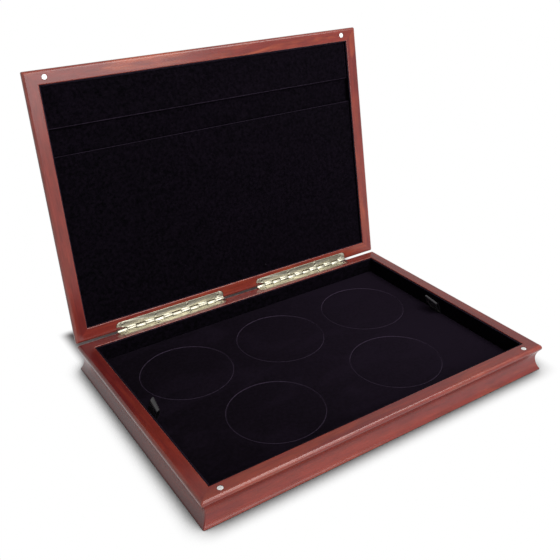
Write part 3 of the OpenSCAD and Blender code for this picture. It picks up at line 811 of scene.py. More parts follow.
def joined(name, pieces):
    """One piece out of several."""
    bm = bmesh.new()
    for piece in pieces:
        bm.from_mesh(piece.data)
    mesh = bpy.data.meshes.new(name)
    bm.to_mesh(mesh)
    bm.free()
    for piece in pieces:
        remove(piece)
    return new_object(name, mesh)


def eased(piece, width, above=30):
    """Softens the edges sharper than an angle in degrees."""
    ease = piece.modifiers.new("ease", "BEVEL")
    ease.width = width
    ease.segments = 2
    ease.limit_method = "ANGLE"
    ease.angle_limit = math.radians(above)
    ease.use_clamp_overlap = True
    return plain(piece)


def cut(piece, cutters):
    """Takes the cutters out of a piece and removes them."""
    for cutter in cutters:
        made = piece.modifiers.new("cut", "BOOLEAN")
        made.operation = "DIFFERENCE"
        made.solver = "EXACT"
        made.object = cutter
        plain(piece)
    for cutter in cutters:
        remove(cutter)


def in_row(piece, number, pitch, material=None):
    """Repeats a piece along X with the shared geometry tree."""
    row = piece.modifiers.new("row", "NODES")
    row.node_group = shared(even_row)
    tree_input(row, "Count", number)
    tree_input(row, "Pitch", pitch)
    tree_input(row, "Material", material)
    return plain(piece)


def smooth(mesh, sharp_above):
    mesh.polygons.foreach_set("use_smooth", [True] * len(mesh.polygons))
    mesh.set_sharp_from_angle(angle=math.radians(sharp_above))


def settle(piece, body, nodes, material, place=BASE, sharp_above=35, even=False):
    """Puts a finished piece in the row frame, ties it to its body and hides the CAD nodes that it replaces."""
    piece.data.transform(place)
    piece.data.materials.clear()
    piece.data.materials.append(material)
    smooth(piece.data, sharp_above)
    if even:
        weighted = piece.modifiers.new("even_faces", "WEIGHTED_NORMAL")
        weighted.keep_sharp = True
        plain(piece)
    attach(piece, body)
    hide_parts(*nodes)
    return piece


def arc(centre, radius, start, end, steps):
    """Points on an arc, angles in degrees, both ends included."""
    turns = [math.radians(start + (end - start) * i / steps) for i in range(steps + 1)]
    return [Vector((centre[0] + radius * math.cos(t), centre[1] + radius * math.sin(t))) for t in turns]


def circle(centre, radius, steps):
    return arc(centre, radius, 0, 360, steps)[:-1]


def prism(name, outline, low, high, place=BASE):
    """A closed prism on an outline in X and Y."""
    n = len(outline)
    points = [(p[0], p[1], z) for z in (low, high) for p in outline]
    faces = [(i, (i + 1) % n, n + (i + 1) % n, n + i) for i in range(n)]
    faces += [tuple(reversed(range(n))), tuple(range(n, 2 * n))]
    mesh = mesh_of(name, points, faces)
    edit(mesh)
    mesh.transform(place)
    return new_object(name, mesh)


def lathe(name, profile, steps=48):
    """Turns a profile of radii and heights round Z. Its ends lie on the axis."""
    points, faces = [(0, 0, profile[0][1])], []
    for radius, z in profile[1:-1]:
        points += [(p.x, p.y, z) for p in circle((0, 0), radius, steps)]
    points.append((0, 0, profile[-1][1]))
    rings = len(profile) - 2
    for i in range(steps):
        j = (i + 1) % steps
        faces.append((0, 1 + i, 1 + j))
        for k in range(rings - 1):
            a = 1 + k * steps
            faces.append((a + i, a + steps + i, a + steps + j, a + j))
        last = 1 + (rings - 1) * steps
        faces.append((last + j, last + i, len(points) - 1))
    mesh = mesh_of(name, points, faces)
    edit(mesh)
    return new_object(name, mesh)


def rounded_box(low, high, corner, step):
    """Rounded rectangle, anticlockwise, with points no more than step apart."""
    corners = [((high[0] - corner, low[1] + corner), 270), ((high[0] - corner, high[1] - corner), 0),
               ((low[0] + corner, high[1] - corner), 90), ((low[0] + corner, low[1] + corner), 180)]
    arcs = [arc(middle, corner, start, start + 90, 4) for middle, start in corners]
    outline = []
    for here, after in zip(arcs, arcs[1:] + arcs[:1]):
        cells = max(1, round((after[0] - here[-1]).length / step))
        outline += here + [here[-1].lerp(after[0], i / cells) for i in range(1, cells)]
    return outline


def inset(loop, distance):
    """An anticlockwise loop moved inwards."""
    made = []
    for before, point, after in zip(loop[-1:] + loop[:-1], loop, loop[1:] + loop[:1]):
        a = (point - before).normalized()
        b = (after - point).normalized()
        side = Vector((-a.y - b.y, a.x + b.x))
        made.append(point + side * (distance / (1 + a.dot(b))))
    return made


def lies_inside(point, loop):
    inside = False
    for a, b in zip(loop, loop[1:] + loop[:1]):
        if (a.y > point.y) != (b.y > point.y):
            if point.x < (b.x - a.x) * (point.y - a.y) / (b.y - a.y) + a.x:
                inside = not inside
    return inside


def covered_slab(name, outline, low, high, edge, cell, holes=(), hole_edge=None):
    """A closed slab with rounded top and bottom edges and an even net of points on its two faces.

    outline is an anticlockwise loop and holes are pairs of a centre and a radius."""
    hole_edge = hole_edge or edge
    steps = 5
    hole_steps = 96
    loops = [(lambda d: inset(outline, d), edge, False)]
    for centre, radius in holes:
        loops.append((lambda d, c=centre, r=radius: circle(c, r + d, hole_steps), hole_edge, True))
    points, faces, borders = [], [], []
    for make, ease, hollow in loops:
        turns = [math.pi / 2 * i / steps for i in range(steps + 1)]
        levels = [(ease * (1 - math.sin(t)), high - ease * (1 - math.cos(t))) for t in turns]
        levels += [(d, high + low - z) for d, z in reversed(levels)]
        rings = []
        for d, z in levels:
            rings.append(len(points))
            points += [(p.x, p.y, z) for p in make(d)]
        n = len(points) - rings[-1]
        for a, b in zip(rings, rings[1:]):
            for i in range(n):
                j = (i + 1) % n
                quad = (a + i, b + i, b + j, a + j)
                faces.append(tuple(reversed(quad)) if hollow else quad)
        borders.append((rings[0], rings[-1], [Vector(p[:2]) for p in points[rings[0]:rings[0] + n]]))
    spots, triangles = flat_net(borders, holes, hole_edge, cell)
    for top in (True, False):
        numbers = {}
        for first, last, loop in borders:
            for i, p in enumerate(loop):
                numbers[spot_key(p)] = (first if top else last) + i
        for p in spots:
            if spot_key(p) not in numbers:
                numbers[spot_key(p)] = len(points)
                points.append((p.x, p.y, high if top else low))
        order = [numbers[spot_key(p)] for p in spots]
        faces += [tuple(order[i] for i in (t if top else reversed(t))) for t in triangles]
    mesh = mesh_of(name, points, faces)
    edit(mesh, merge_points)
    mark_edges(mesh)
    return new_object(name, mesh)


def spot_key(p):
    return round(p.x, 7), round(p.y, 7)


def flat_net(borders, holes, hole_edge, cell):
    """Triangles with evenly spread points inside the first border and outside the others."""
    flat = [p for _, _, loop in borders for p in loop]
    edges, start = [], 0
    for _, _, loop in borders:
        edges += [(start + i, start + (i + 1) % len(loop)) for i in range(len(loop))]
        start += len(loop)

    def inside(p, room):
        clear = all((p - Vector(c)).length > r + hole_edge + room for c, r in holes)
        return clear and lies_inside(p, borders[0][2])

    left, right = min(p.x for p in flat), max(p.x for p in flat)
    front, back = min(p.y for p in flat), max(p.y for p in flat)
    columns = max(1, round((right - left) / cell))
    rows = max(1, round((back - front) / cell))
    room = 0.55 * cell
    net = []
    for i in range(1, columns):
        for j in range(1, rows):
            p = Vector((left + (right - left) * i / columns, front + (back - front) * j / rows))
            if inside(p, room) and all((p - q).length > room for q in flat):
                net.append(p)
    found = delaunay_2d_cdt(flat + net, edges, [], 1, 1e-7)
    spots = found[0]
    middles = [sum((spots[i] for i in t), Vector((0, 0))) / 3 for t in found[2]]
    return spots, [t for t, middle in zip(found[2], middles) if inside(middle, -0.05 * MM)]


def mark_edges(mesh):
    """Stores how far the pile bends over an edge: 1 on a rounded edge and 0 on flat faces and sides."""
    nearly_flat = 0.985
    values = []
    for vertex in mesh.vertices:
        up = abs(vertex.normal.z)
        values.append(min(1.0, 4 * up * (1 - up)) if up < nearly_flat else 0.0)
    layer = mesh.attributes.new("pile_edge", "FLOAT", "POINT")
    layer.data.foreach_set("value", values)


def swell(piece, held, limit, frames=18):
    """Blows a closed pad up gently with the cloth solver. held says which points stay where they are."""
    rest = [v.co.copy() for v in piece.data.vertices]
    pinned = piece.vertex_groups.new(name="held")
    pinned.add([i for i, p in enumerate(rest) if held(p)], 1.0, "REPLACE")
    cloth = piece.modifiers.new("padding", "CLOTH")
    cloth.settings.use_pressure = True
    cloth.settings.uniform_pressure_force = 1.0
    cloth.settings.vertex_group_mass = pinned.name
    cloth.settings.effector_weights.gravity = 0
    cloth.settings.tension_stiffness = 40
    cloth.settings.compression_stiffness = 40
    cloth.settings.shear_stiffness = 20
    cloth.settings.bending_stiffness = 0.5
    cloth.point_cache.frame_end = frames
    for number in range(1, frames + 1):
        bpy.context.scene.frame_set(number)
    blown = piece.evaluated_get(bpy.context.evaluated_depsgraph_get()).data
    after = [v.co.copy() for v in blown.vertices]
    for vertex, before, now in zip(piece.data.vertices, rest, after):
        step = now - before
        if step.length > limit:
            step = step.normalized() * limit
        vertex.co = before + step
    piece.modifiers.clear()
    piece.vertex_groups.clear()
    bpy.context.scene.frame_set(1)
    return piece


def softened_copy(node_name, name, width):
    """A CAD node's own shape as a piece, with its faces joined and its sharp edges eased."""
    mesh = frame["nodes"][node_name].data.copy()
    mesh.name = name

    def join_faces(bm):
        bmesh.ops.remove_doubles(bm, verts=bm.verts, dist=0.0005 * MM)
        bmesh.ops.dissolve_limit(bm, angle_limit=math.radians(0.4), verts=bm.verts, edges=bm.edges)

    edit(mesh, join_faces)
    return eased(new_object(name, mesh), width, 40)


# Shapes of the rails and of the seats cut into them

def foot_line(part):
    """How far a rail's foot, or the lid's top edge, stands in from the lip."""
    sizes = bpy.context.scene.case_moulding
    return sizes.foot_inset if part == "base" else sizes.lid_top_inset


def rail_section(height, board, foot):
    """Closed section of a rail: Y inwards from the outer face, Z up from the foot.

    Past the waist the hollow runs out to a base rail's foot, or over a shoulder to the lid's top edge."""
    sizes = bpy.context.scene.case_moulding
    steps = sizes.arc_steps
    rise = height - sizes.lip_drop - sizes.waist_height
    step_in = sizes.waist - sizes.lip
    upper = (step_in * step_in + rise * rise - sizes.lip * sizes.lip) / (2 * (sizes.lip + step_in))
    toe_in = sizes.waist - foot
    toe_drop = sizes.waist_height - sizes.foot_edge
    lower = (toe_in * toe_in + toe_drop * toe_drop) / (2 * toe_in)
    touch = math.degrees(math.atan2(rise, sizes.lip - sizes.waist + upper))
    points = [(foot + sizes.foot_round, 0), (foot, sizes.foot_round)]
    low_end = -math.degrees(math.asin(toe_drop / lower))
    points += arc((sizes.waist - lower, sizes.waist_height), lower, low_end, 0, steps)
    points += arc((sizes.waist - upper, sizes.waist_height), upper, 0, touch, steps)[1:]
    points += arc((sizes.lip, height - sizes.lip_drop), sizes.lip, 180 + touch, 180, steps)[1:]
    points += arc((sizes.crown, height - sizes.crown), sizes.crown, 180, 90, steps)
    points += arc((RAIL_WIDTH - sizes.edge, height - sizes.edge), sizes.edge, 90, 0, steps=6)
    points += [(RAIL_WIDTH, board), (RAIL_WIDTH - sizes.rebate, board), (RAIL_WIDTH - sizes.rebate, 0)]
    return [(0, p[0], p[1]) for p in points]


def moulded_rail(part, side, height, board, stain):
    """One mitred rail, in its own frame."""
    section = mesh_of("section", rail_section(height, board, foot_line(part)), [])
    piece = new_object(f"{part}_{SIDES[side]}_rail_wood", section)
    sweep = piece.modifiers.new("sweep", "NODES")
    sweep.node_group = shared(swept_moulding)
    tree_input(sweep, "Length", rail_length(side))
    tree_input(sweep, "Width", RAIL_WIDTH)
    tree_input(sweep, "Corner Round", bpy.context.scene.case_moulding.corner)
    tree_input(sweep, "Material", stain)
    plain(piece)
    edit(piece.data, close_ends)
    return piece


def drum(name, radius, low, high, place, steps=64):
    """A round cutter along Z."""
    return prism(name, circle((0, 0), radius, steps), low, high, place)


def leaf_corners(half, reach, corner):
    """The rounded far side of a leaf, from its -X end to its +X end."""
    return (arc((-half + corner, -reach + corner), corner, 180, 270, 8)
            + arc((half - corner, -reach + corner), corner, 270, 360, 8))


def magnet_spots(part, place):
    """Middle of the pair, distance between the two, radius and depth of the magnets, in a rail's frame."""
    low, high = node_extent(f"{part}_magnets", place)
    radius = (high.y - low.y) / 2
    middle = Vector(((low.x + high.x) / 2, (low.y + high.y) / 2, high.z))
    return middle, high.x - low.x - 2 * radius, radius, high.z - low.z


def magnet_seats(part, place):
    middle, pitch, radius, depth = magnet_spots(part, place)
    gap = bpy.context.scene.case_metal.seat_gap
    return [drum("magnet_seat", radius + gap, -depth, MM,
                 Matrix.Translation(middle + Vector((side * pitch / 2, 0, 0)))) for side in (-1, 1)]


def screw_spots(part, side):
    """Length of a leaf's row of screws, radius of a head, the row's Y and the Z of the screws' ends."""
    low, high = node_extent(f"{side}_hinge_{part}_screws", hinge_place(part, side))
    head = (high.y - low.y) / 2
    return high.x - low.x - 2 * head, head, (low.y + high.y) / 2, low.z


def hinge_seats(part, place):
    """Cutters for the two leaves, their barrels and their screws, in a back rail's frame."""
    sizes = bpy.context.scene.case_metal
    made = []
    for side in ("left", "right"):
        where = place.inverted() @ hinge_place(part, side)
        low, high = node_extent(f"{side}_hinge_{part}_leaf", hinge_place(part, side))
        half = (high.x - low.x) / 2 + sizes.mortise_gap
        outline = leaf_corners(half, sizes.mortise_gap / 2 - low.y, sizes.leaf_corner)
        outline += [(half, 0), (-half, 0)]
        made.append(prism("leaf_seat", outline, -HALF_GAP - sizes.leaf, MM, where))
        lying = where @ Matrix.Rotation(math.pi / 2, 4, "Y")
        made.append(drum("barrel_seat", sizes.barrel + sizes.barrel_room, -half, half, lying))
        span, _, row, bottom = screw_spots(part, side)
        for i in range(sizes.screws):
            spot = where @ Matrix.Translation((span * (i / (sizes.screws - 1) - 0.5), row, 0))
            radius = sizes.shank + sizes.seat_gap
            made.append(drum("screw_seat", radius, bottom - sizes.seat_gap, 0, spot, steps=24))
    return made


# Pieces

class CASE_OT_rails(bpy.types.Operator):
    """Cove-moulded cherry rails of the base and the lid, cut for the hinges and magnets"""
    bl_idname = "case.rails"
    bl_label = "Moulded rails"

    # Shift, warmth and figure of the grain on the front, right, back and left rail; the lid's warmer, paler
    # rails are partly painted light, standing in for the brighter light on its rim
    tones = {"base": ((0.3, 0.3, 0.5), (1.9, 0.2, 0.7), (2.7, 0.3, 0.6), (4.2, 0.1, 0.75)),
             "lid": ((5.1, 1.0, 0.3), (6.6, 0.7, 0.7), (7.4, 0.5, 0.6), (8.3, 0.8, 0.5))}

    def execute(self, context):
        for part, height, board_node in (("base", BASE_HEIGHT, "base_bottom_board"),
                                         ("lid", LID_HEIGHT, "lid_top_panel")):
            low, high = node_extent(board_node, part_place(part))
            for side in range(4):
                place = rail_place(part, side)
                shift, warmth, figure = self.tones[part][side]
                stain = cherry(f"{part}_{SIDES[side]}_cherry", place, shift, warmth, figure,
                               (height, rail_length(side), foot_line(part)))
                piece = moulded_rail(part, side, height, high.z - low.z, stain)
                if side == 0:
                    cut(piece, magnet_seats(part, place))
                if side == 2:
                    cut(piece, hinge_seats(part, place))
                settle(piece, part, [f"{part}_{SIDES[side]}_rail"], stain, place, even=True)
        return {"FINISHED"}


class CASE_OT_boards(bpy.types.Operator):
    """Bottom board, the lid's top panel and the tray's board"""
    bl_idname = "case.boards"
    bl_label = "Boards"

    board_ease = 0.12 * MM

    def execute(self, context):
        # dark is the linings' colour, the velvet darkened as painted shade
        dark = context.scene.case_colours.lining
        self.board("lid_top_veneer", "lid_top_panel", "lid", "panel_wood",
                   cherry("lid_top_cherry", LID, shift=11.3, warmth=0.6, figure=0.7))
        self.board("base_bottom_veneer", "base_bottom_board", "base", "panel_wood",
                   cherry("base_bottom_cherry", BASE, shift=13.9, warmth=0.5, figure=0.7))
        self.board("tray_board_covered", "tray_board", "tray", "tray_velvet",
                   velvet("tray_board_pile", dark, brushing=0.2, sheen=0.02))
        return {"FINISHED"}

    def board(self, name, node_name, body, slot, material):
        settle(softened_copy(node_name, name, self.board_ease), body, [node_name], material)


class CASE_OT_linings(bpy.types.Operator):
    """Velvet-covered linings of the base and the lid"""
    bl_idname = "case.linings"
    bl_label = "Velvet linings"

    corner = 0.75 * MM
    cell = 12 * MM
    spacer_ease = 0.2 * MM

    def execute(self, context):
        # dark is the linings' colour, the velvet darkened as painted shade
        dark = context.scene.case_colours.lining
        base_pile = velvet("base_lining_pile", dark, brushing=0.03, sheen=0.003, edge=0.3)
        # The lid's lining lightens a little towards the right as painted light
        lid_pile = velvet("lid_lining_pile", dark, brushing=0.06, sheen=0.003, edge=0.35, lean=0.06)
        for side in range(4):
            self.cover(f"base_{SIDES[side]}_lining", "base", wall_place("base", side), base_pile)
            self.cover(f"lid_{SIDES[side]}_lining", "lid", wall_place("lid", side), lid_pile)
        self.cover("base_floor_lining", "base", BASE, base_pile)
        self.cover("lid_backing_board", "lid", LID, lid_pile)
        self.cover("lid_pocket_front", "lid", LID, lid_pile)
        spacers = softened_copy("lid_pocket_spacers", "lid_pocket_spacers_velvet", self.spacer_ease)
        settle(spacers, "lid", ["lid_pocket_spacers"], lid_pile)
        return {"FINISHED"}

    def cover(self, node_name, part, place, material):
        low, high = node_extent(node_name, place)
        edge = min(bpy.context.scene.case_velvet.board_edge, 0.45 * (high.z - low.z))
        outline = rounded_box(low, high, self.corner, self.cell)
        piece = covered_slab(f"{node_name}_velvet", outline, low.z, high.z, edge, self.cell)
        settle(piece, part, [node_name], material, place, 50)


class CASE_OT_padding(bpy.types.Operator):
    """The tray's padded top with its five wells, and the lid's padded strip"""
    bl_idname = "case.padding"
    bl_label = "Padded velvet"

    notch_gap = 0.2 * MM
    strip_corner = 1.2 * MM
    hole_edge = 0.55 * MM

    def execute(self, context):
        sizes = context.scene.case_velvet
        top = self.tray_top(sizes)
        pile = soft_velvet("tray_top_pile")
        settle(top, "tray", ["tray_pad"], pile, BASE, 50)
        strip = self.strip(sizes)
        # dark is the linings' colour, the velvet darkened as painted shade
        dark = context.scene.case_colours.lining
        # The strip lightens a little towards the right as painted light
        pile = velvet("strip_pile", dark, brushing=0.1, sheen=0.005, edge=0.4, lean=0.08)
        settle(strip, "lid", ["lid_padded_strip"], pile, LID, 50)
        return {"FINISHED"}

    def tray_top(self, sizes):
        low, high = node_extent("tray_pad")
        holes = []
        for disc in DISCS:
            a, b = node_extent(disc)
            well = (b.x - a.x) / 2 + sizes.disc_gap
            holes.append((((a.x + b.x) / 2, (a.y + b.y) / 2), well))
        piece = covered_slab("tray_pad_velvet", self.notched(low, high, sizes.pad_cell), low.z, high.z,
                             sizes.pad_edge, sizes.pad_cell, holes, self.hole_edge)
        return swell(piece, lambda p: p.z < high.z - 0.9 * self.hole_edge, sizes.puff)

    def notched(self, low, high, cell):
        """The tray's outline with a notch for a ribbon in the middle of each short edge."""
        ribbon = node_extent("left_pull_ribbon")
        layers = 2 * bpy.context.scene.case_ribbon.layer
        half = (ribbon[1].y - ribbon[0].y) / 2 + self.notch_gap
        depth = layers + 2 * self.notch_gap
        corner = 2 * MM
        right = [Vector((high.x, -half)), Vector((high.x - depth, -half)),
                 Vector((high.x - depth, half)), Vector((high.x, half))]
        left = [-p for p in right]
        box = rounded_box(low, high, corner, cell)
        kept = [p for p in box if abs(abs(p.x) - high.x) > 0.01 * MM or abs(p.y) > half + 0.4 * cell]
        outline = []
        for here, after in zip(kept, kept[1:] + kept[:1]):
            outline.append(here)
            if here.y * after.y < 0 and abs(here.x) > high.x - corner:
                outline += right if here.x > 0 else left
        return outline

    def strip(self, sizes):
        low, high = node_extent("lid_padded_strip", LID)
        outline = rounded_box(low, high, self.strip_corner, sizes.pad_cell)
        piece = covered_slab("lid_padded_strip_velvet", outline, low.z, high.z, sizes.pad_edge,
                             sizes.pad_cell)
        return swell(piece, lambda p: p.z > low.z + 0.9 * sizes.pad_edge, sizes.puff)


class CASE_OT_discs(bpy.types.Operator):
    """Velvet discs that lie in the coin wells"""
    bl_idname = "case.discs"
    bl_label = "Well discs"

    def execute(self, context):
        sizes = context.scene.case_velvet
        pile = soft_velvet("disc_pile")
        for name in DISCS:
            low, high = node_extent(name)
            middle = ((low.x + high.x) / 2, (low.y + high.y) / 2)
            outline = circle(middle, (high.x - low.x) / 2, 96)
            piece = covered_slab(f"{name}_velvet", outline, low.z, high.z + sizes.disc_rise, sizes.disc_edge,
                                 1.6 * sizes.pad_cell)
            settle(piece, name, [name], pile, BASE, 50)
        return {"FINISHED"}


class CASE_OT_ribbons(bpy.types.Operator):
    """Satin pull ribbons at the tray's short edges"""
    bl_idname = "case.ribbons"
    bl_label = "Pull ribbons"

    loop_steps = 36
    under_tray = 1.2 * MM

    def execute(self, context):
        weave = satin("ribbon_weave")
        for side, inward in (("left", 1), ("right", -1)):
            self.ribbon(context.scene.case_ribbon, side, inward, weave)
        return {"FINISHED"}

    def ribbon(self, sizes, side, inward, weave):
        """One ribbon: a sheet along the path of its middle line, given the cloth's thickness."""
        low, high = node_extent(f"{side}_pull_ribbon")
        wall = low.x if side == "left" else high.x
        points, faces, longest = [], [], 0.0
        for row in range(sizes.rows):
            across = row / (sizes.rows - 1)
            line = self.path(sizes, low.z, 1 + sizes.skew * (across - 0.5))
            y = low.y + (high.y - low.y) * across
            points += [(wall + inward * p.x, y, p.y) for p in line]
            longest = max(longest, sum((b - a).length for a, b in zip(line, line[1:])))
        n = len(points) // sizes.rows
        for row in range(sizes.rows - 1):
            for k in range(n - 1):
                a = row * n + k
                faces.append((a, a + 1, a + n + 1, a + n))
        piece = new_object(f"{side}_pull_ribbon_satin", mesh_of("ribbon", points, faces))
        thickness = piece.modifiers.new("thickness", "SOLIDIFY")
        thickness.thickness = sizes.cloth
        thickness.offset = 0
        plain(piece)
        edit(piece.data, merge_points)
        settle(piece, "tray", [f"{side}_pull_ribbon"], weave, BASE, 60)

    def path(self, sizes, floor, stretch):
        """Middle line of the ribbon: distance in from the case's wall and height, from tail to end."""
        half = sizes.layer / 2
        turn = self.under_tray
        line = [Vector((sizes.tail * i / 3, floor + half)) for i in (3, 2, 1)]
        line += [Vector((turn, floor + half)), Vector((half, floor + turn)), Vector((half, TRAY_TOP - MM))]
        inner = 0.45 * sizes.layer
        for i in range(2, self.loop_steps - 1):
            t = 2 * math.pi * (1 - i / self.loop_steps)
            out = (sizes.bulge / 2 - inner) * math.sin(t) * abs(math.sin(t / 2)) ** 1.5
            up = inner + (sizes.loop * stretch - 2 * inner) * (1 - math.cos(t)) / 2
            line.append(Vector((sizes.layer + out * math.cos(sizes.lean) + up * math.sin(sizes.lean),
                                TRAY_TOP + up * math.cos(sizes.lean) - out * math.sin(sizes.lean))))
        return line + [Vector((3 * half, TRAY_TOP - MM)), Vector((3 * half, floor + turn))]


class CASE_OT_hinges(bpy.types.Operator):
    """Strip hinges with curled knuckles, and their countersunk screws"""
    bl_idname = "case.hinges"
    bl_label = "Hinges and screws"

    curl_start = 0.15 * MM
    tooth_gap = 0.06 * MM
    pin_ease = 0.15 * MM
    cone_rise = 0.2 * MM
    overlap = 0.05 * MM
    head_dome = 0.12 * MM
    cross_turn = 0.4

    # Turns a prism drawn as Y and Z so that it runs along X
    row_direction = Matrix(((0, 0, 1, 0), (1, 0, 0, 0), (0, 1, 0, 0), (0, 0, 0, 1)))

    def execute(self, context):
        sizes = context.scene.case_metal
        for side in ("left", "right"):
            for part in ("base", "lid"):
                place = hinge_place(part, side)
                leaf_metal = nickel(f"{side}_{part}_leaf_nickel", place, tarnish=0.5, roughness=0.3)
                screw_metal = nickel(f"{side}_{part}_screw_nickel", place, tarnish=0.8, roughness=0.24)
                leaf = self.leaf(sizes, part, side)
                settle(leaf, part, [f"{side}_hinge_{part}_leaf"], leaf_metal, place, 30)
                screws = self.screws(sizes, part, side, screw_metal)
                settle(screws, part, [f"{side}_hinge_{part}_screws"], screw_metal, place, 30)
            pin = softened_copy(f"{side}_hinge_pin", f"{side}_hinge_pin_wire", self.pin_ease)
            along = hinge_place("base", side)
            pin_metal = nickel(f"{side}_pin_nickel", along, tarnish=0.6, roughness=0.3)
            settle(pin, "base", [f"{side}_hinge_pin"], pin_metal)
        return {"FINISHED"}

    def leaf(self, sizes, part, side):
        """A leaf in its own frame, with its own knuckles and cut back behind the other leaf's."""
        low, high = node_extent(f"{side}_hinge_{part}_leaf", hinge_place(part, side))
        half = (high.x - low.x) / 2
        pitch = 2 * half / sizes.knuckles
        outline = leaf_corners(half, -low.y, sizes.leaf_corner)
        clear = -sizes.barrel - sizes.slot
        own = -sizes.barrel / 2
        for i in reversed(range(sizes.knuckles)):
            left = -half + i * pitch
            if i % 2:
                outline += [Vector((x, clear)) for x in (left + pitch, left)]
            else:
                trim = sizes.knuckle_gap / 2 + self.tooth_gap
                outline += [Vector((left + pitch - trim, clear)), Vector((left + pitch - trim, own)),
                            Vector((left + trim, own)), Vector((left + trim, clear))]
        outline = [p for p in outline if abs(p.x) < half or p.y != clear]
        plate = prism("plate", outline, -HALF_GAP - sizes.leaf, -HALF_GAP)
        span, head, row, _ = screw_spots(part, side)
        wide = head + sizes.countersink
        rise = self.cone_rise
        cone = lathe("cone", [(0, rise), (wide + rise, rise), (wide, 0), (sizes.shank, -sizes.leaf),
                              (sizes.shank, -sizes.leaf - MM), (0, -sizes.leaf - MM)], steps=32)
        cone.data.transform(Matrix.Translation((0, row, -HALF_GAP)))
        cut(plate, [in_row(cone, sizes.screws, span / (sizes.screws - 1))])
        end = (pitch - sizes.knuckle_gap) / 2
        knuckle = prism("knuckle", self.knuckle_section(sizes), -end, end, self.row_direction)
        in_row(knuckle, sizes.knuckles // 2, 2 * pitch)
        knuckle.data.transform(Matrix.Translation((-pitch / 2, 0, 0)))
        return eased(joined(f"{side}_hinge_{part}_leaf_plated", [plate, knuckle]), sizes.leaf_ease)

    def knuckle_section(self, sizes):
        """A barrel with the bend that leads down to its leaf, in Y and Z."""
        top = -HALF_GAP
        reach = math.sqrt((sizes.barrel + sizes.curl) ** 2 - (top + sizes.curl) ** 2)
        lean = math.degrees(math.atan2(top + sizes.curl, reach))
        under = 180 + math.degrees(math.asin((sizes.leaf - top) / sizes.barrel))
        section = [Vector((-reach - self.curl_start, top - self.overlap))]
        section += arc((-reach, top + sizes.curl), sizes.curl, -90, -lean, 6)
        section += arc((0, 0), sizes.barrel, 180 - lean, under - 360, 28)[1:]
        section.append(Vector((-reach - self.curl_start, top - sizes.leaf + self.overlap)))
        return section

    def screws(self, sizes, part, side, metal):
        """A leaf's screws in the leaf's frame, with crosses cut in their heads."""
        span, head, row, bottom = screw_spots(part, side)
        tip = bottom + HALF_GAP
        profile = [(0, self.head_dome), (0.5 * head, 0.75 * self.head_dome), (head - 0.25 * MM, 0),
                   (head, -0.2 * MM), (sizes.shank, -sizes.leaf), (sizes.shank, tip + 0.5 * MM), (0, tip)]
        screw = lathe("screw", [(r, z - sizes.sink) for r, z in profile], steps=32)
        long, wide = sizes.cross_length / 2, sizes.cross_width / 2
        for turn in (self.cross_turn, self.cross_turn + math.pi / 2):
            bar = prism("bar", [(-long, -wide), (long, -wide), (long, wide), (-long, wide)],
                        -sizes.cross_depth - sizes.sink, MM, Matrix.Rotation(turn, 4, "Z"))
            cut(screw, [bar])
        screw.data.transform(Matrix.Translation((0, row, -HALF_GAP)))
        screw.name = f"{side}_hinge_{part}_screws_plated"
        return in_row(screw, sizes.screws, span / (sizes.screws - 1), metal)


class CASE_OT_magnets(bpy.types.Operator):
    """Plated disc magnets in the two front rails"""
    bl_idname = "case.magnets"
    bl_label = "Magnets"

    edge_turns = (0, 0.4, 0.8, 1.2, math.pi / 2)

    def execute(self, context):
        sizes = context.scene.case_metal
        bright = context.scene.case_colours.magnet
        for part in ("base", "lid"):
            place = rail_place(part, 0)
            middle, pitch, radius, depth = magnet_spots(part, place)
            edge, dome = sizes.magnet_edge, sizes.magnet_dome
            rim = [(radius - edge + edge * math.sin(t), -dome - edge * (1 - math.cos(t)))
                   for t in self.edge_turns]
            profile = [(0, 0), (0.4 * radius, -0.2 * dome), (0.7 * radius, -0.55 * dome)]
            piece = lathe(f"{part}_magnets_plated", profile + rim + [(radius, -depth), (0, -depth)])
            piece.data.transform(Matrix.Translation(middle))
            # Half metal, half white diffuse: painted reflection makes the magnets near white
            plating = plated(f"{part}_magnet_plating", place, bright, bright, tarnish=0.2, roughness=0.5,
                             metallic=0.5)
            in_row(piece, 2, pitch, plating)
            settle(piece, part, [f"{part}_magnets"], plating, place)
        return {"FINISHED"}


# Stage

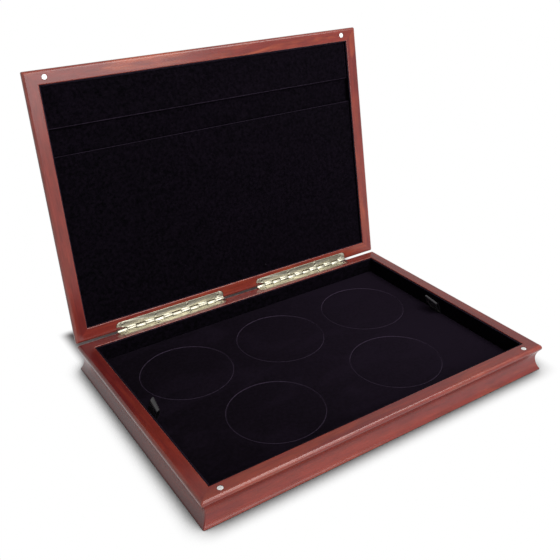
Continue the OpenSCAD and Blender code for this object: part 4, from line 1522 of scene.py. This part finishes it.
class CASE_OT_stage(bpy.types.Operator):
    """Floor, room, soft lamps and the camera"""
    bl_idname = "case.stage"
    bl_label = "Stage"

    def execute(self, context):
        stage = context.scene.case_stage
        reach = stage.floor_reach
        corners = [(-reach, -reach, 0), (reach, -reach, 0), (reach, reach, 0), (-reach, reach, 0)]
        floor = new_object("floor", mesh_of("floor", corners, [(0, 1, 2, 3)]))
        floor.data.materials.append(pale_floor())
        self.room(context, stage)
        self.lamp("top_lamp", stage.top_place, stage.top_size, stage.top_lamp, stage.lamp_aim)
        self.lamp("front_lamp", stage.front_place, stage.front_size, stage.front_lamp, stage.lamp_aim)
        self.camera(context, stage)
        context.scene.view_settings.view_transform = "Standard"
        return {"FINISHED"}

    def room(self, context, stage):
        """White to the camera, half bright in reflections and dim as a light."""
        world = bpy.data.worlds.new("studio")
        tree = emptied(world)
        camera_ray, mirrored_ray = background_rays(tree)
        dim = plus(tree, stage.room, times(tree, mirrored_ray, stage.backdrop - stage.room))
        white = larger(tree, dim, camera_ray)
        light = node(tree, "ShaderNodeBackground", {"Color": (1, 1, 1, 1), "Strength": white}).outputs[0]
        tree.links.new(light, tree.nodes.new("ShaderNodeOutputWorld").inputs["Surface"])
        context.scene.world = world

    def lamp(self, name, place, size, watts, aim):
        """A soft rectangular lamp that faces a point."""
        light = bpy.data.lights.new(name, "AREA")
        light.shape = "RECTANGLE"
        light.size, light.size_y = size
        light.energy = watts
        made = new_object(name, light)
        made.location = place
        made.rotation_euler = (Vector(aim) - Vector(place)).to_track_quat("-Z", "Y").to_euler()

    def camera(self, context, stage):
        """The photograph's camera."""
        data = bpy.data.cameras.new("camera")
        made = new_object("camera", data)
        back = Vector((math.sin(stage.azimuth) * math.cos(stage.elevation),
                       -math.cos(stage.azimuth) * math.cos(stage.elevation), math.sin(stage.elevation)))
        right = Vector((0, 0, 1)).cross(back).normalized()
        up = back.cross(right)
        turned = math.cos(stage.roll) * right + math.sin(stage.roll) * up
        tilted = math.cos(stage.roll) * up - math.sin(stage.roll) * right
        axes = Matrix((turned, tilted, back)).transposed().to_4x4()
        made.matrix_world = Matrix.Translation(stage.camera_place) @ axes
        data.sensor_width = 36
        data.lens = stage.lens
        data.shift_x = stage.shift_x
        data.shift_y = stage.shift_y
        data.clip_start = 0.05
        data.clip_end = 20
        context.scene.camera = made


# Panel, registering and the run

OPERATORS = (CASE_OT_stage, CASE_OT_rails, CASE_OT_boards, CASE_OT_linings, CASE_OT_padding, CASE_OT_discs,
             CASE_OT_ribbons, CASE_OT_hinges, CASE_OT_magnets)


class CASE_PT_pieces(bpy.types.Panel):
    """Sizes, colours and pieces of the display case"""
    bl_idname = "CASE_PT_pieces"
    bl_label = "Coin display case"
    bl_space_type = "VIEW_3D"
    bl_region_type = "UI"
    bl_category = "Case"

    def draw(self, context):
        for operator in OPERATORS:
            self.layout.operator(operator.bl_idname)
        for name, group in SETTINGS.items():
            box = self.layout.box()
            box.label(text=group.__doc__)
            for label in group.__annotations__:
                box.prop(getattr(context.scene, name), label)


def register():
    for name, group in SETTINGS.items():
        bpy.utils.register_class(group)
        setattr(bpy.types.Scene, name, PointerProperty(type=group))
    for made in (*OPERATORS, CASE_PT_pieces):
        bpy.utils.register_class(made)


def unregister():
    for made in (CASE_PT_pieces, *reversed(OPERATORS)):
        bpy.utils.unregister_class(made)
    for name, group in SETTINGS.items():
        delattr(bpy.types.Scene, name)
        bpy.utils.unregister_class(group)


def main():
    register()
    bpy.ops.case.stage()
    bpy.ops.case.rails()
    bpy.ops.case.boards()
    bpy.ops.case.linings()
    bpy.ops.case.padding()
    bpy.ops.case.discs()
    bpy.ops.case.ribbons()
    bpy.ops.case.hinges()
    bpy.ops.case.magnets()


if __name__ == "__main__":
    main()
